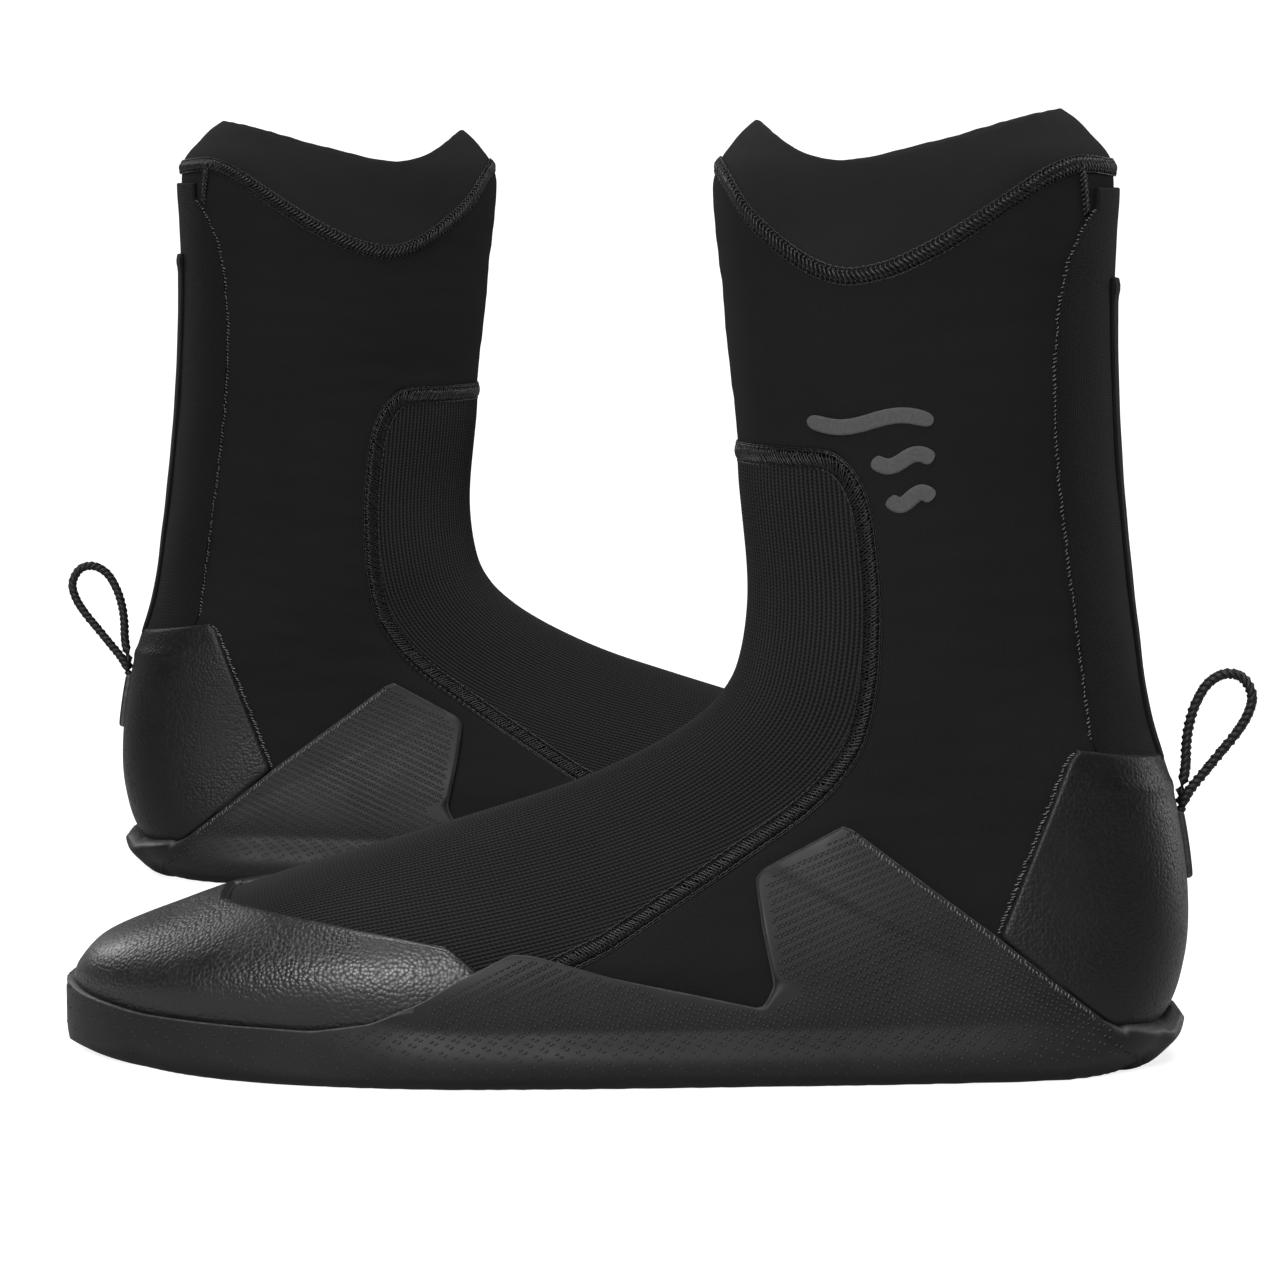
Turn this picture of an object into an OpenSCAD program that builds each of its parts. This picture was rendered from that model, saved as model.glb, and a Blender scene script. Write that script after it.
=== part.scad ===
// A pair of high neoprene water-sports boots with round toes.
// Every sub-part is drawn in the boot's own frame: x from heel to toe,
// y towards the outer side of the foot, z up from the ground.
// The left boot is turned round and the right boot is its mirror image.

/* [Boot] */
// Length of the outsole from heel to toe
sole_length = 290; // [250:5:320]
// Distance between the centre lines of the two boots
boot_spacing = 314; // [150:1:400]
// How far the heels of the two boots are apart along their length
heel_distance = 310; // [250:1:400]

/* [Neoprene] */
// Thickness of the shaft, instep and bottom panels
neoprene = 4; // [3:0.5:5]
// Thickness of the cuff at the top
cuff_wall = 3; // [2:0.5:4]
// Thickness of the plush inner lining
lining_wall = 1; // [0.8:0.1:1.5]
// Thickness of the foam insole
insole_wall = 3; // [2:0.5:4]

/* [Rubber] */
// Thickness of the toe cap and the heel cup
cap_wall = 1.4; // [1:0.1:1.8]
// Thickness of the outsole's side wall
side_wall = 2.4; // [2:0.1:3]
// Extra rubber between the side wall and the ground, before it is cut flat
tread_wall = 7; // [6.5:0.1:8]

/* [Heel trim] */
// Thickness of the woven Achilles panel
achilles_wall = 1.1; // [0.8:0.1:1.4]
// Thickness of the tape over the back seam
tape_wall = 0.9; // [0.6:0.1:1.2]
// Diameter of the pull loop's cord
cord_d = 3; // [2.5:0.1:3.5]

/* [Seams] */
// Width of a band of overlock stitching
stitch_w = 4.6; // [3.5:0.1:6]
// Height of a band of overlock stitching
stitch_h = 0.9; // [0.6:0.1:1.2]
// Width of one wave of the printed mark
print_w = 4; // [2:0.5:5]

/* [Hidden] */

design_length = 290;
size_k = sole_length / design_length;

// Clearance between a skin and what is laid over it, and between panels along a seam.
layer_gap = 0.4;
sole_gap = 0.6;
cap_gap = 0.8;
lining_gap = 1.1;
seam_v = 0.005;
bottom_seam_v = 0.012;
seam_t = 0.03;

// Cross-sections of the foot from the rim of the cuff to the tip of the toe. Each is
// [front x, front z, back x, back z, half width, height of the widest point as a share,
//  roundness of the upper half, roundness of the lower half, sideways shift].
SECTIONS = [
    [111, 242, 34.5, 245, 28, 0.50, 2, 2, 0],
    [117.5, 235.5, 27, 238.5, 33, 0.50, 2, 2, 0],
    [121.6, 228, 20.5, 230, 36.5, 0.50, 2, 2, 0],
    [121.6, 213, 20.5, 212, 37, 0.50, 2, 2, 0],
    [119.5, 195, 21, 194, 36.5, 0.50, 2, 2, 0],
    [116.8, 168, 20.2, 166, 36, 0.50, 2, 2, 0],
    [114.8, 141, 18, 139, 35.5, 0.50, 2, 2, 0],
    [113.6, 119, 15, 113, 35, 0.50, 2, 2.1, 0],
    [115.5, 103.5, 11.5, 90, 35, 0.50, 2, 2.2, 0],
    [120, 94.5, 5, 68, 35, 0.48, 2, 2.4, 0],
    [127.5, 87.5, 1.6, 46, 35, 0.46, 2, 2.6, 0],
    [137, 81.5, 2.4, 28, 35, 0.44, 2, 2.8, 0.5],
    [149, 75.5, 9, 12.5, 36, 0.42, 2, 3.2, 1],
    [161, 70.5, 25, 6.5, 37.5, 0.40, 2, 3.6, 1.5],
    [176, 65.5, 62, 5.5, 39, 0.38, 2, 4, 2.5],
    [193, 60, 105, 5.5, 42, 0.37, 2.05, 4, 2.5],
    [212, 54, 150, 5.5, 46, 0.36, 2.1, 4, 1],
    [229, 48.5, 188, 5.5, 48, 0.36, 2.15, 4, -1],
    [245, 42.5, 220, 6.2, 46, 0.38, 2.2, 3.8, -4],
    [259, 37, 245, 8, 41, 0.40, 2.25, 3.6, -7],
    [272, 32, 266, 10.2, 32, 0.42, 2.3, 3.2, -9.5],
    [281, 27.5, 279, 12.2, 21.5, 0.45, 2.3, 2.8, -11.5],
    [286, 22, 285.6, 14.5, 10.5, 0.5, 2.2, 2.4, -12.5],
    [287.2, 18.6, 287.2, 18, 1, 0.5, 2, 2, -12.8]
];
LAST = len(SECTIONS) - 1;
TIP = LAST - 0.12;

// Pattern lines, drawn from the side as [x, z].
RIM = [[111, 242], [105, 236], [99.5, 233], [91.5, 231.5], [81.5, 232.5], [69.5, 235.5],
       [58, 238.5], [45, 242.5], [34.5, 245]];
CUFF_SEAM = [[121.5, 231], [114.5, 218], [106, 210], [98, 204.5], [90, 202], [78.5, 204.5],
             [65.5, 211], [53, 219], [40, 227.5], [31.5, 231], [20.6, 229.5]];
KNIT_SEAM = [[93, 156.5], [88.5, 152], [85.5, 144], [84, 133.5], [83, 122.5], [83, 113],
             [83.5, 102], [85, 92], [87.5, 84], [94, 75], [101.5, 68], [111.5, 61],
             [121, 54.5], [150.5, 36], [161, 31.5], [173, 24], [186, 14]];
FEATHER_LINE = [[9, 13], [14, 12], [22, 11.5], [60, 11.5], [110, 12], [150, 12], [190, 12],
                [220, 12.5], [250, 14], [272, 16], [284, 17.5]];
SOLE_EDGE = [[89, 65], [110, 53.5], [112, 51], [110.5, 39.5], [107.5, 25.5], [110.5, 20],
             [131, 24.5], [148, 28], [167, 33], [173, 33.5], [179.5, 30.5], [187.5, 27],
             [195.5, 22.5], [208, 17], [223, 14.5], [242, 14.5], [266, 15], [281.5, 17],
             [286.4, 18.4]];
WING_BACK = [[89, 65], [52.5, 38], [27, 17.5], [17, 9.6]];
HEEL_FRONT = [[31.5, 83], [33.5, 81], [50.5, 37.5]];
ACHILLES_EDGE = [[27, 219], [29.5, 216], [34, 207], [36.5, 195.5], [37.5, 180], [37, 162],
                 [35.5, 146.5], [33.5, 131], [30.5, 109], [27.5, 86]];
CAP_EDGE = [[179.5, 30.8], [187.5, 35], [199.5, 37], [221, 40], [235, 41], [246, 41.2]];

// Where the outsole is thicker or thinner than its side wall and its tread.
nose_bulge = 1;
toe_bulge = 1.2;
lip_relief = 0.6;
heel_relief = 2.4;
wall_draft = 0.2;
NOSE_START = 16.5;
NOSE_LENGTH = 3;
TOE_START = 17;
TOE_LENGTH = 4;
LIP_END = 12.5;
LIP_LENGTH = 0.4;
HEEL_RISE_END = 13.2;
HEEL_RISE_LENGTH = 0.8;
UPRIGHT_START = 15.5;
UNDER_START = 0.1;
UNDER_LENGTH = 0.6;

// The foot is wider towards the outside, and this brings the pair's middle to the origin.
middle_shift = 1.5;

// The outsole steps outwards over the heel cup, whose lower edge is tucked into it.
TUCK_V = 0.88;
TUCK_BAND = 0.03;
TUCK_END = 12.9;
TUCK_FADE = 0.5;

// The panels are skived to a share of their thickness towards the tip of the toe.
SKIVE_START = 20;
SKIVE_LENGTH = 2.5;
skived_share = 0.25;

// Rows where a pattern piece starts or ends, as section numbers.
BOTTOM_START = 12.5;
KNIT_TOP = 5.4;
LEG_END = 16.9;
HEEL_START = 8.47;
HEEL_END = 12.45;
HEEL_CUP_END = 11.95;
WING_TOP = 10.85;
LIP_TOP = 11.75;
CAP_BRIDGE = 18.15;
BACK_TOP = 2.35;
TAPE_TOP = 3.62;

// Points of the pull loop, in the boot's middle plane as [x, z].
LOOP_ROUTE = [[0.6, 66], [-1.4, 69.5], [-5, 74], [-9, 79], [-13, 84], [-16, 89], [-17, 94],
              [-14.5, 98.5], [-10, 99.5], [-5.6, 97], [-2.6, 92], [-0.9, 86.5], [-0.2, 81],
              [-0.1, 76], [0.4, 72]];

function lerp(a, b, k) = a + (b - a) * k;

function smooth(k) = let (c = min(max(k, 0), 1)) c * c * (3 - 2 * c);

function unit(p) = p / max(norm(p), 0.000001);

// Catmull-Rom curve between b and c.
function glide(a, b, c, d, k) =
    0.5 * (2 * b + (c - a) * k + (2 * a - 5 * b + 4 * c - d) * k * k
           + (3 * b - a - 3 * c + d) * k * k * k);

// The cross-section at any place t along the foot.
function section(t) =
    let (i = min(floor(max(t, 0)), LAST - 1), b = SECTIONS[i], c = SECTIONS[i + 1])
    let (a = i > 0 ? SECTIONS[i - 1] : 2 * b - c)
    let (d = i + 2 <= LAST ? SECTIONS[i + 2] : 2 * c - b)
    glide(a, b, c, d, max(t, 0) - i);

// A point of the neoprene's outer surface. v runs from 0 at the front or top to 1 at the
// back or bottom, and its sign is the side.
function skin(t, v) =
    let (s = section(t), a = 180 * abs(v), c = cos(a))
    let (e = 2 / (c >= 0 ? s[6] : s[7]))
    let (share = c >= 0 ? s[5] + (1 - s[5]) * pow(c, e) : s[5] * (1 - pow(-c, e)))
    let (half = s[4] * pow(max(sin(a), 0), e))
    [s[2] + (s[0] - s[2]) * share, s[8] + sign(v) * half, s[3] + (s[1] - s[3]) * share];

function around(v) = v > 1 ? v - 2 : v < -1 ? v + 2 : v;

// The outward direction of the surface.
function outward(t, v) =
    let (k = min(max(t, 0.02), LAST - 0.03), dt = 0.02, dv = 0.004)
    let (down = skin(k + dt, v) - skin(k - dt, v))
    let (across = skin(k, around(v + dv)) - skin(k, around(v - dv)))
    unit(cross(down, across));

// A point at a distance above the surface, or below it when the distance is negative.
function raised(t, v, h) = skin(t, v) + h * outward(t, v);

// The side of a section's chord on which a point of the side view lies.
function above(t, p) =
    let (s = section(t))
    (s[0] - s[2]) * (p[1] - s[3]) - (s[1] - s[3]) * (p[0] - s[2]) > 0;

function find_t(p, lo, hi, steps) =
    steps == 0 ? (lo + hi) / 2
    : above((lo + hi) / 2, p) ? find_t(p, lo, (lo + hi) / 2, steps - 1)
    : find_t(p, (lo + hi) / 2, hi, steps - 1);

// [t, v] of a point drawn in the side view.
function locate(p) =
    let (t = find_t(p, 0, LAST, 20), s = section(t))
    let (chord = [s[0] - s[2], s[1] - s[3]])
    let (share = min(max(((p - [s[2], s[3]]) * chord) / (chord * chord), 0), 1))
    let (c = share >= s[5] ? pow((share - s[5]) / (1 - s[5]), s[6] / 2)
             : -pow((s[5] - share) / s[5], s[7] / 2))
    [t, acos(min(max(c, -1), 1)) / 180];

// A pattern line as v at each t, or as t at each v.
function v_by_t(line) = [for (p = line) locate(p)];

function t_by_v(line) = [for (p = line) let (q = locate(p)) [q[1], q[0]]];

RIM_T = t_by_v(RIM);
CUFF_T = t_by_v(CUFF_SEAM);
KNIT_V = v_by_t(KNIT_SEAM);
FEATHER_V = v_by_t(FEATHER_LINE);
SOLE_V = v_by_t(SOLE_EDGE);
WING_V = v_by_t(WING_BACK);
HEEL_V = v_by_t(HEEL_FRONT);
ACHILLES_V = v_by_t(ACHILLES_EDGE);
CAP_V = v_by_t(CAP_EDGE);

function quad(a, b, c, d) = [[a, b, c], [a, c, d]];

function flatten(lists) = [for (l = lists) each l];

// A closed shell between an outer and an inner grid of points. Cells for which keep[i][j]
// is 0 are left open, and ring joins the last column to the first.
module shell(outer, inner, keep, ring = false) {
    rows = len(outer) - 1;
    cols = len(outer[0]) - (ring ? 0 : 1);
    wide = len(outer[0]);
    deep = len(outer) * wide;
    points = concat(flatten(outer), flatten(inner));
    faces = flatten([
        for (i = [0 : rows - 1], j = [0 : cols - 1])
            if (keep[i][j] == 1)
                let (k = (j + 1) % wide)
                let (a = i * wide + j, b = i * wide + k, c = b + wide, d = a + wide)
                let (before = j > 0 ? keep[i][j - 1] : ring ? keep[i][cols - 1] : 0)
                let (after = j < cols - 1 ? keep[i][j + 1] : ring ? keep[i][0] : 0)
                concat(
                    quad(a, b, c, d),
                    quad(a + deep, d + deep, c + deep, b + deep),
                    i > 0 && keep[i - 1][j] == 1 ? [] : quad(b, a, a + deep, b + deep),
                    i < rows - 1 && keep[i + 1][j] == 1 ? [] : quad(d, c, c + deep, d + deep),
                    before == 1 ? [] : quad(a, d, d + deep, a + deep),
                    after == 1 ? [] : quad(c, b, b + deep, c + deep)
                )
    ]);
    polyhedron(points = points, faces = faces, convexity = 10);
}

// A grid of [t, v] raised above the surface by h.
function lifted(grid, h) = [for (row = grid) [for (q = row) raised(q[0], q[1], h)]];

function whole(grid, cut = 1) = [for (i = [0 : len(grid) - 2]) [for (j = [0 : len(grid[0]) - cut]) 1]];

// The same grid on the inner side of the panel.
function lining_side(grid) = [for (row = grid) [for (q = row) raised(q[0], q[1], -panel_wall(q[0]))]];

module patch(grid, low, high) {
    shell(lifted(grid, high), lifted(grid, low), whole(grid, 2));
}

// Grid rows from t0 to t1 across the back, as far as the edge line on both sides.
function back_grid(t0, t1, rows, cols, edge, gap) = [
    for (i = [0 : rows])
        let (t = lerp(t0, t1, i / rows), reach = 1 - lookup(t, edge) - gap)
        [for (j = [0 : cols]) [t, around(1 + reach * (2 * j / cols - 1))]]
];

// A flat band of the given width along a route of [t, v], from height low to high.
module band(route, width, low, high) {
    n = len(route) - 1;
    spine = [for (q = route) skin(q[0], q[1])];
    rings = [
        for (i = [0 : n])
            let (along = unit(spine[min(i + 1, n)] - spine[max(i - 1, 0)]))
            let (up = outward(route[i][0], route[i][1]), side = width / 2 * unit(cross(along, up)))
            [spine[i] - side + low * up, spine[i] + side + low * up,
             spine[i] + side + high * up, spine[i] - side + high * up]
    ];
    tube(rings);
}

// A solid through rings of points, closed at both ends.
module tube(rings) {
    n = len(rings[0]);
    last = (len(rings) - 1) * n;
    sides = flatten([
        for (i = [0 : len(rings) - 2], j = [0 : n - 1])
            quad(i * n + j, i * n + (j + 1) % n, (i + 1) * n + (j + 1) % n, (i + 1) * n + j)
    ]);
    ends = [[for (j = [n - 1 : -1 : 0]) j], [for (j = [0 : n - 1]) last + j]];
    polyhedron(points = flatten(rings), faces = concat(sides, ends), convexity = 10);
}

// The panels are skived thinner towards the tip of the toe.
function panel_wall(t) = neoprene * lerp(1, skived_share, smooth((t - SKIVE_START) / SKIVE_LENGTH));

// Upper edge of the outsole, and lower edge of the shaft panel.
function sole_v(t) = lookup(t, SOLE_V);

function panel_v(t) = t < FEATHER_V[0][0] ? 1 : lookup(t, FEATHER_V);

// The rubber cup under the foot, with its wings and its heel lip, cut flat on the ground.
module outsole() {
    wing_cols = 7;
    lip_cols = 3;
    side_cols = wing_cols + 1 + lip_cols;
    rows_t = concat(
        [for (i = [0 : 3]) lerp(WING_TOP, LIP_TOP, i / 3)],
        [for (i = [1 : 3]) lerp(LIP_TOP, HEEL_END, i / 3)],
        [for (i = [1 : 17]) lerp(HEEL_END, TIP, i / 17)]
    );
    wing_rows = 3;
    heel_rows = 6;
    lip_v = 0.975;
    side = [
        for (t = rows_t)
            let (top = sole_v(t), rear = min(lookup(t, WING_V), 0.9))
            let (lip = lerp(lip_v, rear + 0.02, smooth((t - LIP_TOP) / (HEEL_END - LIP_TOP))))
            [for (j = [0 : side_cols])
                let (near_heel = j <= wing_cols ? lerp(top, rear, j / wing_cols)
                                 : lerp(lip, 1, (j - wing_cols - 1) / lip_cols))
                let (k = smooth((t - HEEL_END) / 2))
                [t, lerp(near_heel, lerp(top, 1, j / side_cols), k)]]
    ];
    grid = [
        for (row = side)
            concat(row, [for (j = [side_cols - 1 : -1 : 0]) [row[j][0], -row[j][1]]])
    ];
    keep = [
        for (i = [0 : len(rows_t) - 2])
            [for (j = [0 : 2 * side_cols - 1])
                let (k = j < side_cols ? j : 2 * side_cols - 1 - j)
                i >= heel_rows || k < wing_cols || (i >= wing_rows && k > wing_cols) ? 1 : 0]
    ];
    outer = [for (row = grid) [for (q = row) sole_outside(q[0], q[1])]];
    inner = [for (row = grid) [for (q = row) raised(q[0], q[1], sole_inside(q[0], q[1]))]];
    color("#2e2e2e")
        difference() {
            shell(outer, inner, keep);
            translate([-50, -100, -40]) cube([400, 200, 40]);
        }
}

// The outsole clears the heel cup at the back.
function sole_inside(t, v) =
    sole_gap + (cap_wall + layer_gap) * smooth((abs(v) - TUCK_V) / TUCK_BAND)
    * smooth((TUCK_END - t) / TUCK_FADE);

// Thickness of the outsole's side wall, and of the tread below it.
function wall_side(t) =
    side_wall + nose_bulge * smooth((t - NOSE_START) / NOSE_LENGTH)
    - lip_relief * smooth((LIP_END - t) / LIP_LENGTH);

function tread(t) =
    tread_wall + toe_bulge * smooth((t - TOE_START) / TOE_LENGTH)
    - heel_relief * smooth((HEEL_RISE_END - t) / HEEL_RISE_LENGTH);

// The outer face turns from the side wall to the tread where the surface turns under, and
// the wall stays upright round the toe.
function sole_outside(t, v) =
    let (base = skin(t, v), n = outward(t, v), inside = sole_inside(t, v))
    let (under = smooth((-n[2] - UNDER_START) / UNDER_LENGTH))
    let (p = base + (inside + wall_side(t) + tread(t) * under) * n, way = unit([n[0], n[1], 0]))
    let (retreat = max((skin(t, sign(v) * sole_v(t)) - base) * way, 0))
    let (extra = max((p - base) * way - inside - wall_side(t) - wall_draft - retreat, 0))
    p - extra * smooth((t - UPRIGHT_START) / NOSE_LENGTH) * way;

// Neoprene under the foot, sewn to the shaft and instep panels.
module bottom_panel() {
    grid = back_grid(BOTTOM_START, TIP, 15, 8, FEATHER_V, bottom_seam_v);
    color("#1c1c1c")
        shell(lifted(grid, 0), lining_side(grid), whole(grid, 2));
}

// Foam footbed inside the lining.
module insole() {
    top = -neoprene - lining_gap - lining_wall - cap_gap;
    edge = [for (q = FEATHER_V) [q[0], q[1] + 0.05]];
    color("#3a3a3a")
        patch(back_grid(13.1, 20.8, 11, 8, edge, 0), top - insole_wall, top);
}

// Thin plush sock inside the neoprene, closed over the toes.
module lining() {
    rows = 16;
    cols = 20;
    top = 4;
    end = 21.85;
    grid = [
        for (i = [0 : rows])
            [for (j = [0 : cols - 1])
                let (t = lerp(top, end, i / rows))
                [t, around(2 * j / cols - 1 + 0.0001)]]
    ];
    high = -neoprene - lining_gap;
    low = high - lining_wall;
    color("#4a4a4a") sock(lifted(grid, high), lifted(grid, low));
}

// A tube of rings with one open end, closed with a flat toe at the other.
module sock(outer, inner) {
    rows = len(outer) - 1;
    cols = len(outer[0]);
    deep = (rows + 1) * cols;
    faces = concat(
        flatten([
            for (i = [0 : rows - 1], j = [0 : cols - 1])
                let (a = i * cols + j, b = i * cols + (j + 1) % cols)
                concat(quad(a, b, b + cols, a + cols),
                       quad(a + deep, a + cols + deep, b + cols + deep, b + deep))
        ]),
        flatten([for (j = [0 : cols - 1]) let (k = (j + 1) % cols) quad(k, j, j + deep, k + deep)]),
        [[for (j = [0 : cols - 1]) rows * cols + j]],
        [[for (j = [cols - 1 : -1 : 0]) rows * cols + j + deep]]
    );
    polyhedron(points = concat(flatten(outer), flatten(inner)), faces = faces, convexity = 10);
}

// The main neoprene panel: round the shaft, with a leg down each side of the foot.
module shaft_panel() {
    bridge_rows = 7;
    leg_rows = 16;
    knit_cols = 6;
    back_cols = 10;
    half = knit_cols + back_cols;
    knit_v = KNIT_V[0][1] + seam_v;
    bridge = [
        for (i = [0 : bridge_rows])
            [for (j = [-half : half])
                let (k = abs(j), v = k <= knit_cols ? knit_v * k / knit_cols
                     : lerp(knit_v, 1 - seam_v, (k - knit_cols) / back_cols))
                [lerp(lookup(v, CUFF_T) + seam_t, KNIT_TOP - seam_t, i / bridge_rows), sign(j) * v]]
    ];
    legs = [
        for (i = [0 : leg_rows])
            let (t = lerp(KNIT_TOP, LEG_END, i / leg_rows))
            let (near = lookup(t, KNIT_V) + seam_v, far = panel_v(t) - seam_v)
            [for (j = [-half : half])
                let (k = max(abs(j) - knit_cols, 0))
                [t, sign(j) * lerp(near, max(far, near + 0.01), k / back_cols)]]
    ];
    grid = concat(bridge, legs);
    keep = [
        for (i = [0 : len(grid) - 2])
            [for (j = [0 : 2 * half - 1])
                i < bridge_rows || j < back_cols || j >= back_cols + 2 * knit_cols ? 1 : 0]
    ];
    color("#202020") shell(lifted(grid, 0), lifted(grid, -neoprene), keep);
}

// Ribbed stretch-knit neoprene from the front of the ankle over the foot to the toe.
module instep_panel() {
    leg_rows = 16;
    toe_rows = 8;
    cols = 14;
    reach = [
        for (i = [0 : leg_rows]) let (t = lerp(KNIT_TOP, LEG_END, i / leg_rows))
            [t, lookup(t, KNIT_V)],
        for (i = [1 : toe_rows]) let (t = lerp(LEG_END, TIP, i / toe_rows))
            [t, lookup(t, FEATHER_V)]
    ];
    grid = [
        for (q = reach)
            [for (j = [0 : cols]) [q[0], (q[1] - seam_v) * (2 * j / cols - 1)]]
    ];
    color("#242424") shell(lifted(grid, 0), lining_side(grid), whole(grid, 2));
}

// Thin collar above the V-shaped seam.
module cuff() {
    rows = 4;
    cols = 32;
    grid = [
        for (i = [0 : rows])
            [for (j = [0 : cols - 1])
                let (v = around(2 * j / cols - 1 + 0.0001))
                [lerp(lookup(abs(v), RIM_T), lookup(abs(v), CUFF_T) - seam_t, i / rows), v]]
    ];
    color("#262626")
        shell(lifted(grid, 0), lifted(grid, -cuff_wall), whole(grid, 1), ring = true);
}

// Overlock thread over the seam between the cuff and the shaft panel.
module cuff_stitching() {
    steps = 20;
    reach = 0.985;
    route = [
        for (i = [-steps : steps])
            let (v = reach * i / steps) [lookup(abs(v), CUFF_T), v]
    ];
    color("#101010") band(route, stitch_w, layer_gap, layer_gap + stitch_h);
}

// Overlock thread round the instep panel.
module instep_stitching() {
    bridge_steps = 6;
    side_steps = 16;
    end = 15.2;
    corner = KNIT_V[0][1];
    half = [
        for (i = [0 : bridge_steps - 1]) [KNIT_TOP, corner * i / bridge_steps],
        for (i = [0 : side_steps]) let (t = lerp(KNIT_TOP, end, i / side_steps))
            [t, lookup(t, KNIT_V)]
    ];
    route = concat(
        [for (i = [len(half) - 1 : -1 : 1]) [half[i][0], -half[i][1]]],
        half
    );
    color("#101010") band(route, stitch_w, layer_gap, layer_gap + stitch_h);
}

// Grained rubber over the toes: two wings that join in front of the instep panel.
module toe_cap() {
    wing_rows = 4;
    nose_rows = 7;
    wing_cols = 4;
    nose_cols = 8;
    start = CAP_V[0][0] + 0.1;
    rows_t = concat(
        [for (i = [0 : wing_rows]) lerp(start, CAP_BRIDGE, i / wing_rows)],
        [for (i = [1 : nose_rows]) lerp(CAP_BRIDGE, TIP, i / nose_rows)]
    );
    side = nose_cols / 2 + wing_cols;
    grid = [
        for (t = rows_t)
            let (low = sole_v(t) - seam_v)
            let (edge = min(lookup(t, CAP_V), low - 0.01))
            let (top = lerp(edge, low / 2, smooth((t - CAP_BRIDGE) / 2)))
            [for (j = [-side : side])
                let (k = abs(j), inner = nose_cols / 2)
                [t, sign(j) * (k <= inner ? top * k / inner : lerp(top, low, (k - inner) / wing_cols))]]
    ];
    keep = [
        for (i = [0 : len(grid) - 2])
            [for (j = [0 : 2 * side - 1])
                i >= wing_rows || j < wing_cols || j >= wing_cols + nose_cols ? 1 : 0]
    ];
    color("#383838") shell(lifted(grid, cap_gap + cap_wall), lifted(grid, cap_gap), keep);
}

// Grained rubber round the heel, above the outsole's wings.
module heel_cup() {
    rows = 9;
    cols = 14;
    edge = concat(
        HEEL_V,
        [for (q = WING_V) if (q[0] > HEEL_V[len(HEEL_V) - 1][0] + 0.05) [q[0], q[1] + 4 * seam_v]]
    );
    color("#333333")
        patch(back_grid(HEEL_START, HEEL_CUP_END, rows, cols, edge, 0),
              sole_gap, sole_gap + cap_wall);
}

// Woven reinforcement up the back of the shaft.
module achilles_panel() {
    color("#2a2a2a")
        patch(back_grid(BACK_TOP, HEEL_START - 0.04, 13, 10, ACHILLES_V, 0),
              layer_gap, layer_gap + achilles_wall);
}

// Narrow tape over the back seam, on the Achilles panel.
module back_seam_tape() {
    edge = [[TAPE_TOP, 0.91], [HEEL_START, 0.93]];
    low = 2 * layer_gap + achilles_wall;
    color("#262626")
        patch(back_grid(TAPE_TOP, HEEL_START - 0.06, 12, 4, edge, 0), low, low + tape_wall);
}

// Rubber strip that holds the pull loop on the heel cup.
module loop_tab() {
    edge = [[8.9, 0.965], [10, 0.965]];
    low = sole_gap + layer_gap + cap_wall;
    tab_wall = 1.3;
    color("#2c2c2c") patch(back_grid(9.2, 9.95, 4, 2, edge, 0), low, low + tab_wall);
}

// Twisted cord bent into a loop, standing up behind the heel.
module pull_loop() {
    n = len(LOOP_ROUTE) - 1;
    sides = 8;
    rings = [
        for (i = [0 : n])
            let (p = LOOP_ROUTE[i])
            let (d = unit(LOOP_ROUTE[min(i + 1, n)] - LOOP_ROUTE[max(i - 1, 0)]))
            let (r = cord_d / 2)
            [for (j = [0 : sides - 1])
                let (a = -360 * j / sides)
                [p[0] - d[1] * r * cos(a), r * sin(a), p[1] + d[0] * r * cos(a)]]
    ];
    color("#1a1a1a") tube(rings);
}

// Generic printed mark: three short waves on the outer side of the shaft, each longer than
// the one below it.
module side_print() {
    lengths = [11, 15, 31];
    steps = 12;
    pitch = 9.6;
    bottom = 147.4;
    left = 68;
    swing = 1.6;
    film = 0.3;
    color("#454545")
        for (k = [0 : len(lengths) - 1])
            band([for (i = [0 : steps])
                     locate([left + lengths[k] * i / steps,
                             bottom + pitch * k + swing * sin(360 * i / steps)])],
                 print_w, layer_gap, layer_gap + film);
}

// The left boot is turned round, with its outer side towards -Y.
module left_boot() {
    translate([heel_distance / 2, -boot_spacing / 2 - middle_shift * size_k, 0])
        rotate([0, 0, 180]) scale(size_k) children();
}

// The right boot is the mirror image, behind the left one.
module right_boot() {
    translate([-heel_distance / 2, boot_spacing / 2 - middle_shift * size_k, 0])
        mirror([0, 1, 0]) scale(size_k) children();
}

left_boot() outsole();  // left_outsole
left_boot() bottom_panel();  // left_bottom_panel
left_boot() insole();  // left_insole
left_boot() lining();  // left_lining
left_boot() shaft_panel();  // left_shaft_panel
left_boot() instep_panel();  // left_instep_panel
left_boot() cuff();  // left_cuff
left_boot() cuff_stitching();  // left_cuff_stitching
left_boot() instep_stitching();  // left_instep_stitching
left_boot() toe_cap();  // left_toe_cap
left_boot() heel_cup();  // left_heel_cup
left_boot() achilles_panel();  // left_achilles_panel
left_boot() back_seam_tape();  // left_back_seam_tape
left_boot() loop_tab();  // left_loop_tab
left_boot() pull_loop();  // left_pull_loop
left_boot() side_print();  // left_side_print
right_boot() outsole();  // right_outsole
right_boot() bottom_panel();  // right_bottom_panel
right_boot() insole();  // right_insole
right_boot() lining();  // right_lining
right_boot() shaft_panel();  // right_shaft_panel
right_boot() instep_panel();  // right_instep_panel
right_boot() cuff();  // right_cuff
right_boot() cuff_stitching();  // right_cuff_stitching
right_boot() instep_stitching();  // right_instep_stitching
right_boot() toe_cap();  // right_toe_cap
right_boot() heel_cup();  // right_heel_cup
right_boot() achilles_panel();  // right_achilles_panel
right_boot() back_seam_tape();  // right_back_seam_tape
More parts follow.
